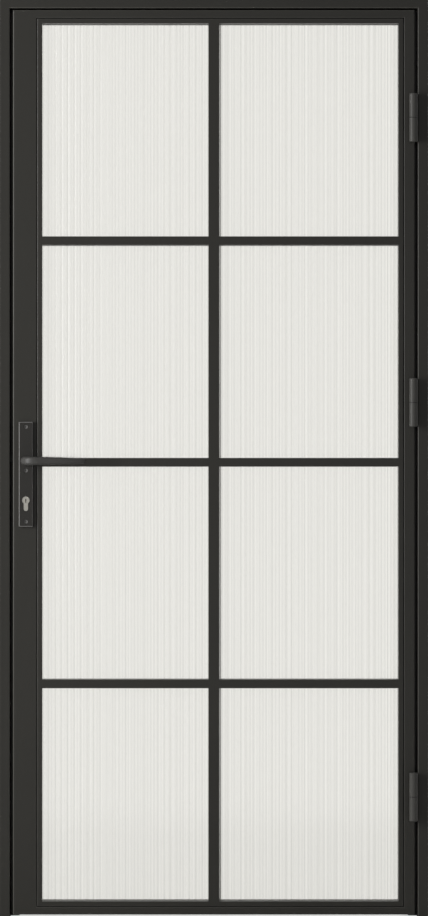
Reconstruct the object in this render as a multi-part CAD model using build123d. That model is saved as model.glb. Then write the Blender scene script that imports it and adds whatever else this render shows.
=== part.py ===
from build123d import *

import os
from math import ceil, cos, radians, sin

# Glass door with its frame, in millimetres.
# Origin: floor level, middle of the width, middle of the leaf's thickness.
# +X points to the hinge side, -Y to the side the leaf opens towards, +Z up.

# Tapped holes are plain holes, larger than the screw by this much in radius
TAPPED_CLEARANCE = 0.05
# How far a cutting body runs past a face, and how deep joined bodies run into each other
OVERLAP = 1.0
# How near an edge or a corner must be to count as the one that is looked for
NEAR = 0.1

# Frame: two jamb tubes and a head tube, each with a stop welded along its inner side
FRAME_WIDTH = 985.0
FRAME_HEIGHT = 2110.0
FRAME_FACE = 25.0
FRAME_DEPTH = 70.0
FRAME_WALL = 2.0
STOP_WIDTH = 20.0
SEAL_SPACE = 4.0
SEAL_GAP = 0.3
SEAL_BULB_WIDTH = 9.0
SEAL_BULB_RADIUS = 1.6
SEAL_CHAMBER_WIDTH = 6.4
SEAL_CHAMBER_HEIGHT = 1.5
SEAL_CHAMBER_RADIUS = 0.6
SEAL_FOOT_HEIGHT = 4.4
SEAL_FOOT_CLEARANCE = 0.2
MITRE_MARGIN = 15.0
WEDGE_MARGIN = 5.0
GROOVE_WIDTH = 4.0
GROOVE_DEPTH = 5.0
GROOVE_FROM_OUTSIDE = 38.5
FOOT_THICKNESS = 2.0

# Leaf: hollow stiles and rails
LEAF_DEPTH = 40.0
SIDE_GAP = 7.0
HEAD_GAP = 4.0
FLOOR_GAP = 7.0
LOCK_STILE_WIDTH = 55.0
HINGE_STILE_WIDTH = 25.0
RAIL_HEIGHT = 19.0
TUBE_WALL = 2.0
TUBE_EDGE_RADIUS = 3.0

# Glazing grids: beads round the edge, one upright bar and three rows of cross bars on each face
BEAD_WIDTH = 12.0
BEAD_DEPTH = 14.0
BEAD_WALL = 1.5
BAR_EDGE_RADIUS = 1.0
CENTRE_BAR_WIDTH = 25.0
CROSS_BAR_HEIGHT = 20.0
ROWS = 4

# Reeded glass: round reeds on the front face
GLASS_THICKNESS = 8.0
REED_PITCH = 14.7
REED_DEPTH = 1.5
REED_VALLEY_X = 414.6
EDGE_CLEARANCE = 4.0
TAPE_INSET = 1.2
SETTING_BLOCK_LENGTH = 80.0
SETTING_BLOCK_DEPTH = 6.0
SETTING_BLOCK_Y = 1.0
SETTING_BLOCK_SHARES = (0.25, 0.75)

# Bead screws, two in each pane's side and four in the top and bottom
BEAD_SCREW_RADIUS = 2.0
BEAD_SCREW_HEAD_RADIUS = 3.5
BEAD_SCREW_REACH = 16.0
BEAD_SCREW_SPREAD = 150.0
BEAD_SCREW_SPREAD_X = 100.0

# Hinges: three barrels, each of an upper knuckle on the leaf and a lower one on the jamb
HINGE_AXIS_X = 457.5
HINGE_AXIS_Y = -30.5
HINGE_BREAKS = (278.0, 1181.0, 1833.0)
BARREL_RADIUS = 10.0
BARREL_HEIGHT = 111.0
BARREL_EDGE = 1.0
PIN_RADIUS = 5.0
PIN_CLEARANCE = 0.05
HINGE_CAP_HEIGHT = 3.0
HINGE_CAP_EDGE = 1.2
CAP_PLUG_LENGTH = 4.0
PIN_TOP_GAP = 5.0
WASHER_THICKNESS = 1.5
WASHER_RADIUS = 9.0
WASHER_BORE_CLEARANCE = 0.1
AXIAL_CLEARANCE = 0.1
WING_THICKNESS = 3.0
WING_END_Y = 16.0
WING_SCREW_RADIUS = 2.5
WING_SCREW_HEAD_RADIUS = 4.5
WING_SCREW_LENGTH = 12.0
WING_SCREW_PLACES = ((0.2, -8.0), (0.5, 6.0), (0.8, -8.0))

# Lock: positions from the floor and backset from the leaf's edge
BACKSET = 30.0
SPINDLE_Z = 1047.0
CYLINDER_Z = 957.0
FOREND_WIDTH = 22.0
FOREND_BOTTOM_Z = 886.5
FOREND_HEIGHT = 235.0
LUG_OVERLAP = 8.0
LUG_SEAT = 14.0
LUG_THICKNESS = 6.0
LUG_HALF_DEPTH = 15.0
PLATE_SCREW_RADIUS = 2.0
PLATE_SCREW_HEAD_RADIUS = 3.9
PLATE_SCREW_LENGTH = 7.0
PLATE_SCREW_INSET = 8.0
CASE_BOTTOM_Z = 923.0
CASE_TOP_Z = 1085.0
CASE_LENGTH = 48.0
CASE_THICKNESS = 16.0
CASE_WALL = 1.5
SLIDE_CLEARANCE = 0.4
STRIKE_CLEARANCE = 1.0

LATCH_Z = 1055.0
LATCH_HEIGHT = 24.0
LATCH_THICKNESS = 12.0
LATCH_LENGTH = 20.0
LATCH_PROUD = 6.0
LATCH_STRAP_HEIGHT = 4.0
LATCH_STRAP_THICKNESS = 6.0
LATCH_HOOK_THICKNESS = 3.0
LATCH_HOOK_DROP = 15.0
LATCH_HOOK_X = -422.25
LATCH_BEVEL_FLAT = 4.0

BOLT_Z = 1002.0
BOLT_HEIGHT = 28.0
BOLT_THICKNESS = 10.0
BOLT_LENGTH = 35.0
BOLT_RECESS = 0.5
BOLT_TAIL_LENGTH = 12.5
BOLT_TAIL_BOTTOM_Z = 974.0
BOLT_TAIL_HALF_THICKNESS = 3.0
BOLT_EDGE = 1.0

FOLLOWER_RADIUS = 9.0
FOLLOWER_CLEARANCE = 0.05
FOLLOWER_ARM_INSET = 2.0
FOLLOWER_ARM_REACH = 13.0
FOLLOWER_ARM_RADIUS = 2.0
FOLLOWER_ARM_THICKNESS = 6.0
FOLLOWER_ARM_LEAN_DEG = 20.0
SPINDLE_SIZE = 8.0
SPINDLE_HALF_LENGTH = 56.0
SQUARE_CLEARANCE = 0.05

# Profile cylinder
CYLINDER_RADIUS = 8.5
CYLINDER_NECK_WIDTH = 10.0
CYLINDER_HEIGHT = 33.0
CYLINDER_HALF_LENGTH = 27.0
CYLINDER_HOLE_CLEARANCE = 0.4
PLUG_RADIUS = 6.5
PLUG_CLEARANCE = 0.05
PLUG_FACE_RECESS = 0.4
KEYWAY_WIDTH = 2.4
KEYWAY_HEIGHT = 8.5
KEYWAY_DEPTH = 20.0
KEYWAY_DROP = 1.0
CAM_RING_RADIUS = 8.3
CAM_REACH = 15.0
CAM_WIDTH = 9.0
CAM_HALF_THICKNESS = 4.7
CAM_SLOT_HALF_WIDTH = 5.2
CAM_SLOT_DROP = 16.0
CYLINDER_SCREW_HOLE_HALF = 6.0
CYLINDER_SCREW_Z = CYLINDER_Z - 20.0
CYLINDER_SCREW_RADIUS = 2.5
CYLINDER_SCREW_HEAD_RADIUS = 4.5
CYLINDER_SCREW_LENGTH = 36.0

# Backplates and levers
PLATE_WIDTH = 32.0
PLATE_BOTTOM_Z = 896.5
PLATE_HEIGHT = 240.0
PLATE_THICKNESS = 8.0
PLATE_EDGE_RADIUS = 2.0
PLATE_RIM = 3.0
PLATE_FACE_THICKNESS = 3.0
PLATE_BOLT_HEIGHTS = (908.0, 1025.0, 1125.0)
PLATE_BOLT_RADIUS = 2.25
PLATE_BOLT_HEAD_RADIUS = 4.4
PLATE_BOLT_SINK = 2.5
PLATE_BOLT_HEAD_HEIGHT = 2.4
PLATE_BOLT_HOLE_RADIUS = 4.0
PLATE_BOSS_RADIUS = 6.5
SLEEVE_RADIUS = 3.4
SLEEVE_LENGTH = 20.0
SLEEVE_CAP = 5.5
BOLT_END_GAP = 6.0
SINK_CLEARANCE = 0.1
SPINDLE_HOLE_RADIUS = 11.0
JOURNAL_RADIUS = 8.0
JOURNAL_CLEARANCE = 0.08
JOURNAL_LENGTH = 6.0

NECK_RADIUS = 10.0
NECK_GAP = 0.4
LEVER_EDGE_RADIUS = 3.0
LEVER_TIP_HEIGHT = 12.0
LEVER_ROUNDING_LIMIT = 0.49
NECK_OVERLAP = 0.5
# Each section's place along the door and out from the plate, its turn towards the tip in
# degrees, its thickness and its height
LEVER_STATIONS = (
    (0.0, 27.0, 0.0, 20.4, 20.4),
    (0.9, 35.0, 14.0, 19.0, 20.6),
    (5.6, 44.0, 42.0, 15.6, 20.4),
    (16.0, 50.3, 74.0, 12.6, 19.9),
    (40.0, 52.2, 88.0, 11.4, 18.6),
    (75.0, 52.4, 91.0, 10.6, 16.6),
    (105.0, 50.6, 97.0, 9.9, 14.6),
    (124.0, 47.0, 106.0, 9.2, 13.0),
    (136.0, 42.0, 117.0, 8.4, LEVER_TIP_HEIGHT),
)
GRUB_RADIUS = 2.5
GRUB_HEIGHT = 14.0
GRUB_LENGTH = 5.0

# Wall fixings through the jambs
FIXING_HEIGHTS = (150.0, 750.0, 1350.0, 1950.0)
FIXING_HOLE_RADIUS = 3.25
FIXING_ACCESS_RADIUS = 6.5
FIXING_Y = 2.0

# Places that follow from the sizes above
FRONT_Y = -LEAF_DEPTH / 2
BACK_Y = LEAF_DEPTH / 2
FRAME_BACK_Y = FRONT_Y + FRAME_DEPTH
STOP_Y = BACK_Y + SEAL_SPACE
FRAME_SIDE_X = FRAME_WIDTH / 2
JAMB_X = FRAME_SIDE_X - FRAME_FACE
STOP_FROM_OUTSIDE = FRAME_FACE + STOP_WIDTH
LEAF_SIDE_X = JAMB_X - SIDE_GAP
LEAF_TOP_Z = FRAME_HEIGHT - FRAME_FACE - HEAD_GAP
LEAF_BOTTOM_Z = FLOOR_GAP
DAYLIGHT_LEFT_X = -LEAF_SIDE_X + LOCK_STILE_WIDTH
DAYLIGHT_RIGHT_X = LEAF_SIDE_X - HINGE_STILE_WIDTH
DAYLIGHT_BOTTOM_Z = LEAF_BOTTOM_Z + RAIL_HEIGHT
DAYLIGHT_TOP_Z = LEAF_TOP_Z - RAIL_HEIGHT
VIEW_LEFT_X = DAYLIGHT_LEFT_X + BEAD_WIDTH
VIEW_RIGHT_X = DAYLIGHT_RIGHT_X - BEAD_WIDTH
VIEW_BOTTOM_Z = DAYLIGHT_BOTTOM_Z + BEAD_WIDTH
VIEW_TOP_Z = DAYLIGHT_TOP_Z - BEAD_WIDTH
ROW_HEIGHT = (VIEW_TOP_Z - VIEW_BOTTOM_Z - (ROWS - 1) * CROSS_BAR_HEIGHT) / ROWS
ROW_STEP = ROW_HEIGHT + CROSS_BAR_HEIGHT
ROW_BOTTOMS = [VIEW_BOTTOM_Z + row * ROW_STEP for row in range(ROWS)]
COLUMNS = (
    (VIEW_LEFT_X, -CENTRE_BAR_WIDTH / 2),
    (CENTRE_BAR_WIDTH / 2, VIEW_RIGHT_X),
)
BEAD_BACK_Y = FRONT_Y + BEAD_DEPTH
GLASS_FRONT_Y = -GLASS_THICKNESS / 2
GLASS_BACK_Y = GLASS_THICKNESS / 2
LOCK_X = -LEAF_SIDE_X + BACKSET
FOREND_TOP_Z = FOREND_BOTTOM_Z + FOREND_HEIGHT
PLATE_FACE_Y = FRONT_Y - PLATE_THICKNESS
LATCH_NOSE_X = -LEAF_SIDE_X - LATCH_PROUD
BOLT_FACE_X = -LEAF_SIDE_X + BOLT_RECESS


def block(x0, x1, y0, y1, z0, z1):
    """Rectangular block between two corners."""
    centre = Pos((x0 + x1) / 2, (y0 + y1) / 2, (z0 + z1) / 2)
    return centre * Box(x1 - x0, y1 - y0, z1 - z0)


def rod_x(x0, x1, y, z, radius):
    """Round bar along X."""
    return Pos((x0 + x1) / 2, y, z) * Rot(0, 90, 0) * Cylinder(radius, x1 - x0)


def rod_y(y0, y1, x, z, radius):
    """Round bar along Y."""
    return Pos(x, (y0 + y1) / 2, z) * Rot(90, 0, 0) * Cylinder(radius, y1 - y0)


def rod_z(z0, z1, x, y, radius):
    """Round bar along Z."""
    return Pos(x, y, (z0 + z1) / 2) * Cylinder(radius, z1 - z0)


def slab(drawing, y0, y1):
    """A drawing in X and Z given a thickness from y0 to y1."""
    return Pos(0, y1, 0) * extrude(Plane.XZ * drawing, amount=y1 - y0)


def area(x0, x1, z0, z1):
    """Rectangle between two corners of a drawing."""
    return Pos((x0 + x1) / 2, (z0 + z1) / 2) * Rectangle(x1 - x0, z1 - z0)


def mirrored_x(shape):
    """The same piece on the other side of the door's middle."""
    return mirror(shape, about=Plane.YZ)


def mirrored_y(shape):
    """The same piece on the other face of the leaf."""
    return mirror(shape, about=Plane.XZ)


def countersunk(radius, head_radius, length):
    """Countersunk screw, its head's face at the origin and its shank along -Z."""
    head_height = head_radius - radius
    outline = Polyline(
        (0, 0),
        (head_radius, 0),
        (radius, -head_height),
        (radius, -length),
        (0, -length),
        (0, 0),
    )
    return revolve(Plane.XZ * make_face(outline), axis=Axis.Z)


def save(name, *shapes):
    """Write one node's solids to its file."""
    solids = [solid for shape in shapes for solid in shape.solids()]
    node = solids[0] if len(solids) == 1 else Compound(solids)
    export_step(node, f"parts/{name}.step")


def round_corners(face, corners, radius):
    """Round the corners of a flat outline that stand at the given places."""
    chosen = [
        vertex
        for vertex in face.vertices()
        if any(abs(vertex.X - x) < NEAR and abs(vertex.Y - y) < NEAR for x, y in corners)
    ]
    return fillet(chosen, radius)


# Frame

def jamb_outline():
    """Outside of the jamb tube; X runs in from the wall, Y from front to back."""
    outline = make_face(
        Polyline(
            (0, FRONT_Y),
            (FRAME_FACE, FRONT_Y),
            (FRAME_FACE, FRAME_BACK_Y),
            (0, FRAME_BACK_Y),
            (0, FRONT_Y),
        )
    )
    corners = ((0, FRONT_Y), (FRAME_FACE, FRONT_Y), (0, FRAME_BACK_Y))
    return round_corners(outline, corners, TUBE_EDGE_RADIUS)


def stop_outline():
    """Outside of the stop that is welded to the tube's inner side."""
    outline = make_face(
        Polyline(
            (FRAME_FACE, STOP_Y),
            (STOP_FROM_OUTSIDE, STOP_Y),
            (STOP_FROM_OUTSIDE, FRAME_BACK_Y),
            (FRAME_FACE, FRAME_BACK_Y),
            (FRAME_FACE, STOP_Y),
        )
    )
    corners = ((STOP_FROM_OUTSIDE, STOP_Y), (STOP_FROM_OUTSIDE, FRAME_BACK_Y))
    return round_corners(outline, corners, TUBE_EDGE_RADIUS)


def jamb_section():
    """Wall of the jamb tube."""
    hollow = area(
        FRAME_WALL,
        FRAME_FACE - FRAME_WALL,
        FRONT_Y + FRAME_WALL,
        FRAME_BACK_Y - FRAME_WALL,
    )
    return jamb_outline() - hollow


def stop_section():
    """Wall of the stop, which steps back behind the seal groove."""
    groove_side = GROOVE_FROM_OUTSIDE - GROOVE_WIDTH / 2 - FRAME_WALL
    groove_back = STOP_Y + GROOVE_DEPTH + FRAME_WALL
    hollow = area(
        FRAME_FACE + FRAME_WALL,
        STOP_FROM_OUTSIDE - FRAME_WALL,
        groove_back,
        FRAME_BACK_Y - FRAME_WALL,
    )
    hollow += area(FRAME_FACE + FRAME_WALL, groove_side, STOP_Y + FRAME_WALL, groove_back)
    groove_centre = (GROOVE_FROM_OUTSIDE, STOP_Y + GROOVE_DEPTH / 2)
    groove = Pos(*groove_centre) * Rectangle(GROOVE_WIDTH, GROOVE_DEPTH)
    return stop_outline() - hollow - groove


def mitre_wedge(above):
    """Prism on one side of the 45 degree joint at the lock side's top corner."""
    reach = STOP_FROM_OUTSIDE + MITRE_MARGIN
    corner = (-FRAME_SIDE_X, FRAME_HEIGHT)
    inner = (-FRAME_SIDE_X + reach, FRAME_HEIGHT - reach)
    third = (inner[0], corner[1] + WEDGE_MARGIN) if above else (corner[0] - WEDGE_MARGIN, inner[1])
    lead = (corner[0], corner[1] + WEDGE_MARGIN) if above else (corner[0] - WEDGE_MARGIN, corner[1])
    outline = Polyline(lead, corner, inner, third, lead)
    return slab(make_face(outline), FRONT_Y - WEDGE_MARGIN, FRAME_BACK_Y + WEDGE_MARGIN)


def upright(section, outline):
    """Lock-side upright of the frame, closed by a foot plate and mitred at the top."""
    place = Pos(-FRAME_SIDE_X, 0, 0)
    bar = extrude(place * section, amount=FRAME_HEIGHT)
    bar += extrude(place * outline, amount=FOOT_THICKNESS)
    return bar - mitre_wedge(above=True)


def header(section):
    """Head of the frame between the two mitres."""
    plane = Plane(origin=(-FRAME_SIDE_X, 0, FRAME_HEIGHT), x_dir=(0, 0, -1), z_dir=(1, 0, 0))
    bar = extrude(plane * section, amount=FRAME_WIDTH)
    wedge = mitre_wedge(above=False)
    return bar - wedge - mirrored_x(wedge)


def plain_jamb():
    """Lock-side jamb with its wall fixings, before the lock's cut-outs."""
    jamb = upright(jamb_section(), jamb_outline())
    reach = FRAME_WALL + OVERLAP
    for height in FIXING_HEIGHTS:
        outside = -FRAME_SIDE_X
        jamb -= rod_x(outside - OVERLAP, outside + reach, FIXING_Y, height, FIXING_HOLE_RADIUS)
        jamb -= rod_x(-JAMB_X - reach, -JAMB_X + OVERLAP, FIXING_Y, height, FIXING_ACCESS_RADIUS)
    return jamb


def end_lugs(face_x, wall, direction):
    """Tapped lugs behind both ends of a plate that is let into a tube's wall."""
    inner_x = face_x + direction * wall
    deep_x = inner_x + direction * LUG_THICKNESS
    x0, x1 = sorted((inner_x, deep_x))
    lugs = block(
        x0,
        x1,
        -LUG_HALF_DEPTH,
        LUG_HALF_DEPTH,
        FOREND_BOTTOM_Z - LUG_OVERLAP,
        FOREND_BOTTOM_Z + LUG_SEAT,
    )
    lugs += block(
        x0,
        x1,
        -LUG_HALF_DEPTH,
        LUG_HALF_DEPTH,
        FOREND_TOP_Z - LUG_SEAT,
        FOREND_TOP_Z + LUG_OVERLAP,
    )
    for height in plate_screw_heights():
        lugs -= rod_x(x0 - OVERLAP, x1 + OVERLAP, 0, height, PLATE_SCREW_RADIUS + TAPPED_CLEARANCE)
    return lugs


def plate_screw_heights():
    """Heights of the two screws that hold the forend or the strike plate."""
    return (FOREND_BOTTOM_Z + PLATE_SCREW_INSET, FOREND_TOP_Z - PLATE_SCREW_INSET)


def lock_jamb():
    """Jamb with the let-in place for the strike plate."""
    jamb = plain_jamb()
    jamb -= block(
        -JAMB_X - FRAME_WALL,
        -JAMB_X,
        -FOREND_WIDTH / 2,
        FOREND_WIDTH / 2,
        FOREND_BOTTOM_Z,
        FOREND_TOP_Z,
    )
    return jamb + end_lugs(-JAMB_X, FRAME_WALL, -1)


def hinge_jamb():
    """Jamb with tapped holes for the hinge wings."""
    jamb = mirrored_x(plain_jamb())
    for y, z in wing_screw_places(upper=False):
        radius = WING_SCREW_RADIUS + TAPPED_CLEARANCE
        jamb -= rod_x(JAMB_X - OVERLAP, JAMB_X + FRAME_WALL + OVERLAP, y, z, radius)
    return jamb


def seal_section():
    """Hollow bulb on a foot that fills the groove; Y runs from front to back."""
    bulb_height = SEAL_SPACE - SEAL_GAP
    bulb = Pos(0, -bulb_height / 2) * RectangleRounded(SEAL_BULB_WIDTH, bulb_height, SEAL_BULB_RADIUS)
    chamber = Pos(0, -bulb_height / 2) * RectangleRounded(
        SEAL_CHAMBER_WIDTH, SEAL_CHAMBER_HEIGHT, SEAL_CHAMBER_RADIUS
    )
    foot_width = GROOVE_WIDTH - SEAL_FOOT_CLEARANCE
    foot = Pos(0, SEAL_FOOT_HEIGHT / 2) * Rectangle(foot_width, SEAL_FOOT_HEIGHT)
    return bulb + foot - chamber


def seals():
    """Lock-side, hinge-side and head seal, cut to meet on the mitres."""
    seal_x = FRAME_SIDE_X - GROOVE_FROM_OUTSIDE
    seal_z = FRAME_HEIGHT - GROOVE_FROM_OUTSIDE
    length = FRAME_HEIGHT - LEAF_BOTTOM_Z
    side = Pos(-seal_x, STOP_Y, LEAF_BOTTOM_Z) * extrude(seal_section(), amount=length)
    side -= mitre_wedge(above=True)
    plane = Plane(origin=(-FRAME_SIDE_X, STOP_Y, seal_z), x_dir=(0, 0, -1), z_dir=(1, 0, 0))
    head = extrude(plane * seal_section(), amount=FRAME_WIDTH)
    wedge = mitre_wedge(above=False)
    head = head - wedge - mirrored_x(wedge)
    return side, mirrored_x(side), head


# Leaf

def leaf_blank():
    """The four tubes as one ground and rounded outline."""
    outline = area(-LEAF_SIDE_X, LEAF_SIDE_X, LEAF_BOTTOM_Z, LEAF_TOP_Z)
    daylight = area(DAYLIGHT_LEFT_X, DAYLIGHT_RIGHT_X, DAYLIGHT_BOTTOM_Z, DAYLIGHT_TOP_Z)
    blank = slab(outline - daylight, FRONT_Y, BACK_Y)
    long_edges = [edge for edge in blank.edges() if edge.length > LEAF_DEPTH + OVERLAP]
    return fillet(long_edges, TUBE_EDGE_RADIUS)


def tube(blank, x0, x1, z0, z1, open_ends):
    """One tube of the leaf: its share of the blank, hollowed to the wall thickness."""
    piece = blank & block(x0, x1, FRONT_Y, BACK_Y, z0, z1)
    end_x = 0 if open_ends else TUBE_WALL
    return piece - block(
        x0 + end_x,
        x1 - end_x,
        FRONT_Y + TUBE_WALL,
        BACK_Y - TUBE_WALL,
        z0 + TUBE_WALL,
        z1 - TUBE_WALL,
    )


def lock_stile(blank):
    """Stile with the pocket for the lock and the holes that its furniture needs."""
    stile = tube(blank, -LEAF_SIDE_X, DAYLIGHT_LEFT_X, LEAF_BOTTOM_Z, LEAF_TOP_Z, False)
    stile -= block(
        -LEAF_SIDE_X,
        -LEAF_SIDE_X + TUBE_WALL,
        -FOREND_WIDTH / 2,
        FOREND_WIDTH / 2,
        FOREND_BOTTOM_Z,
        FOREND_TOP_Z,
    )
    stile += end_lugs(-LEAF_SIDE_X, TUBE_WALL, 1)
    stile -= rod_y(FRONT_Y - OVERLAP, BACK_Y + OVERLAP, LOCK_X, SPINDLE_Z, SPINDLE_HOLE_RADIUS)
    stile -= slab(cylinder_profile(CYLINDER_HOLE_CLEARANCE), FRONT_Y - OVERLAP, BACK_Y + OVERLAP)
    for height in PLATE_BOLT_HEIGHTS:
        stile -= rod_y(FRONT_Y - OVERLAP, BACK_Y + OVERLAP, LOCK_X, height, PLATE_BOLT_HOLE_RADIUS)
    for z in bead_screw_heights():
        stile -= bead_screw_hole_x(DAYLIGHT_LEFT_X, z)
    return stile


def hinge_stile(blank):
    """Stile with tapped holes for the hinge wings."""
    stile = tube(blank, DAYLIGHT_RIGHT_X, LEAF_SIDE_X, LEAF_BOTTOM_Z, LEAF_TOP_Z, False)
    for y, z in wing_screw_places(upper=True):
        inner_x = LEAF_SIDE_X - TUBE_WALL - OVERLAP
        stile -= rod_x(inner_x, LEAF_SIDE_X + OVERLAP, y, z, WING_SCREW_RADIUS + TAPPED_CLEARANCE)
    for z in bead_screw_heights():
        stile -= bead_screw_hole_x(DAYLIGHT_RIGHT_X, z)
    return stile


def rail(blank, z0, z1, screw_z):
    """Top or bottom rail between the stiles."""
    piece = tube(blank, DAYLIGHT_LEFT_X, DAYLIGHT_RIGHT_X, z0, z1, True)
    for x in bead_screw_columns():
        centre_y = BACK_Y - BEAD_DEPTH / 2
        half = TUBE_WALL + OVERLAP
        radius = BEAD_SCREW_RADIUS + TAPPED_CLEARANCE
        piece -= rod_z(screw_z - half, screw_z + half, x, centre_y, radius)
    return piece


# Glazing grids

def bead_screw_heights():
    """Heights of the screws in the side beads, two to a row of panes."""
    centres = [bottom + ROW_HEIGHT / 2 for bottom in ROW_BOTTOMS]
    return [z + side * BEAD_SCREW_SPREAD for z in centres for side in (-1, 1)]


def bead_screw_columns():
    """Places of the screws in the top and bottom beads, two to a column of panes."""
    centres = [(left + right) / 2 for left, right in COLUMNS]
    return [x + side * BEAD_SCREW_SPREAD_X for x in centres for side in (-1, 1)]


def bead_screw_hole_x(wall_x, z):
    """Tapped hole in a stile's wall."""
    return rod_x(wall_x - 3, wall_x + 3, BACK_Y - BEAD_DEPTH / 2, z, BEAD_SCREW_RADIUS + 0.05)


def bead_screws():
    """Countersunk screws that hold the rear beads to the tubes."""
    screw = countersunk(BEAD_SCREW_RADIUS, BEAD_SCREW_HEAD_RADIUS, BEAD_SCREW_REACH)
    centre_y = BACK_Y - BEAD_DEPTH / 2
    placed = []
    for z in bead_screw_heights():
        placed.append(Pos(VIEW_LEFT_X, centre_y, z) * Rot(0, 90, 0) * screw)
        placed.append(Pos(VIEW_RIGHT_X, centre_y, z) * Rot(0, -90, 0) * screw)
    for x in bead_screw_columns():
        placed.append(Pos(x, centre_y, VIEW_BOTTOM_Z) * screw)
        placed.append(Pos(x, centre_y, VIEW_TOP_Z) * Rot(180, 0, 0) * screw)
    return placed


def grid_blank():
    """Front beads and bars as one ground plate with eight panes cut out of it."""
    outline = area(DAYLIGHT_LEFT_X, DAYLIGHT_RIGHT_X, DAYLIGHT_BOTTOM_Z, DAYLIGHT_TOP_Z)
    for left, right in COLUMNS:
        for bottom in ROW_BOTTOMS:
            outline -= area(left, right, bottom, bottom + ROW_HEIGHT)
    blank = slab(outline, FRONT_Y, BEAD_BACK_Y)
    front_edges = blank.edges().filter_by_position(Axis.Y, FRONT_Y, FRONT_Y)
    outer = [
        edge
        for edge in front_edges
        if edge.center().X < DAYLIGHT_LEFT_X + NEAR
        or edge.center().X > DAYLIGHT_RIGHT_X - NEAR
        or edge.center().Z < DAYLIGHT_BOTTOM_Z + NEAR
        or edge.center().Z > DAYLIGHT_TOP_Z - NEAR
    ]
    blank = fillet(outer, TUBE_EDGE_RADIUS)
    panes = [
        edge
        for edge in blank.edges().filter_by_position(Axis.Y, FRONT_Y, FRONT_Y)
        if VIEW_LEFT_X - NEAR < edge.center().X < VIEW_RIGHT_X + NEAR
        and VIEW_BOTTOM_Z - NEAR < edge.center().Z < VIEW_TOP_Z + NEAR
    ]
    return fillet(panes, BAR_EDGE_RADIUS)


def grid_member(blank, x0, x1, z0, z1, upright):
    """One bar of the grid, hollow along its length."""
    piece = blank & block(x0, x1, FRONT_Y, BEAD_BACK_Y, z0, z1)
    side = BEAD_WALL if upright else 0
    end = 0 if upright else BEAD_WALL
    return piece - block(
        x0 + side,
        x1 - side,
        FRONT_Y + BEAD_WALL,
        BEAD_BACK_Y - BEAD_WALL,
        z0 + end,
        z1 - end,
    )


def front_grid():
    """Nodes of the front grid by name."""
    blank = grid_blank()
    half_bar = CENTRE_BAR_WIDTH / 2
    beads = {
        "bead_lock": (DAYLIGHT_LEFT_X, VIEW_LEFT_X, DAYLIGHT_BOTTOM_Z, DAYLIGHT_TOP_Z, True),
        "bead_hinge": (VIEW_RIGHT_X, DAYLIGHT_RIGHT_X, DAYLIGHT_BOTTOM_Z, DAYLIGHT_TOP_Z, True),
        "bead_top": (VIEW_LEFT_X, VIEW_RIGHT_X, VIEW_TOP_Z, DAYLIGHT_TOP_Z, False),
        "bead_bottom": (VIEW_LEFT_X, VIEW_RIGHT_X, DAYLIGHT_BOTTOM_Z, VIEW_BOTTOM_Z, False),
        "centre_bar": (-half_bar, half_bar, VIEW_BOTTOM_Z, VIEW_TOP_Z, True),
    }
    grid = {name: [grid_member(blank, *place)] for name, place in beads.items()}
    grid["cross_bars"] = [
        grid_member(blank, left, right, bottom - CROSS_BAR_HEIGHT, bottom, False)
        for bottom in ROW_BOTTOMS[1:]
        for left, right in COLUMNS
    ]
    return grid


def rear_grid(front):
    """The same grid on the rear face, its beads drilled for their screws."""
    rear = {name: [mirrored_y(piece) for piece in pieces] for name, pieces in front.items()}
    for name, pieces in rear.items():
        if name.startswith("bead"):
            for screw in bead_screws():
                if touches(pieces[0], screw):
                    pieces[0] -= screw
    return rear


def touches(first, second):
    """Whether the boxes round two pieces overlap."""
    a = first.bounding_box()
    b = second.bounding_box()
    return all(
        low_a < high_b and low_b < high_a
        for low_a, high_a, low_b, high_b in zip(a.min, a.max, b.min, b.max)
    )


def glass_pane():
    """Sheet with round reeds on its front face, set in from the tubes all round."""
    x0 = DAYLIGHT_LEFT_X + EDGE_CLEARANCE
    x1 = DAYLIGHT_RIGHT_X - EDGE_CLEARANCE
    reeds_left = ceil((REED_VALLEY_X - x0) / REED_PITCH)
    reeds_right = ceil((x1 - REED_VALLEY_X) / REED_PITCH)
    valley_y = GLASS_FRONT_Y + REED_DEPTH
    first = REED_VALLEY_X - reeds_left * REED_PITCH
    last = REED_VALLEY_X + reeds_right * REED_PITCH
    lines = []
    for reed in range(reeds_left + reeds_right):
        start = first + reed * REED_PITCH
        crest = (start + REED_PITCH / 2, GLASS_FRONT_Y)
        lines.append(ThreePointArc((start, valley_y), crest, (start + REED_PITCH, valley_y)))
    lines.append(Line((last, valley_y), (last, GLASS_BACK_Y)))
    lines.append(Line((last, GLASS_BACK_Y), (first, GLASS_BACK_Y)))
    lines.append(Line((first, GLASS_BACK_Y), (first, valley_y)))
    section = make_face(Curve() + lines)
    sheet_area = Pos((x0 + x1) / 2, 0) * Rectangle(x1 - x0, GLASS_THICKNESS)
    bottom = DAYLIGHT_BOTTOM_Z + EDGE_CLEARANCE
    height = DAYLIGHT_TOP_Z - EDGE_CLEARANCE + OVERLAP - bottom
    return Pos(0, 0, bottom) * extrude(section & sheet_area, amount=height)


def glazing_tape():
    """Front tape behind the beads and bars, a little narrower than they are."""
    outline = area(
        DAYLIGHT_LEFT_X + EDGE_CLEARANCE,
        DAYLIGHT_RIGHT_X - EDGE_CLEARANCE,
        DAYLIGHT_BOTTOM_Z + EDGE_CLEARANCE,
        DAYLIGHT_TOP_Z - EDGE_CLEARANCE,
    )
    for left, right in COLUMNS:
        for bottom in ROW_BOTTOMS:
            outline -= area(
                left - TAPE_INSET,
                right + TAPE_INSET,
                bottom - TAPE_INSET,
                bottom + ROW_HEIGHT + TAPE_INSET,
            )
    return slab(outline, BEAD_BACK_Y, GLASS_FRONT_Y)


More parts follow.
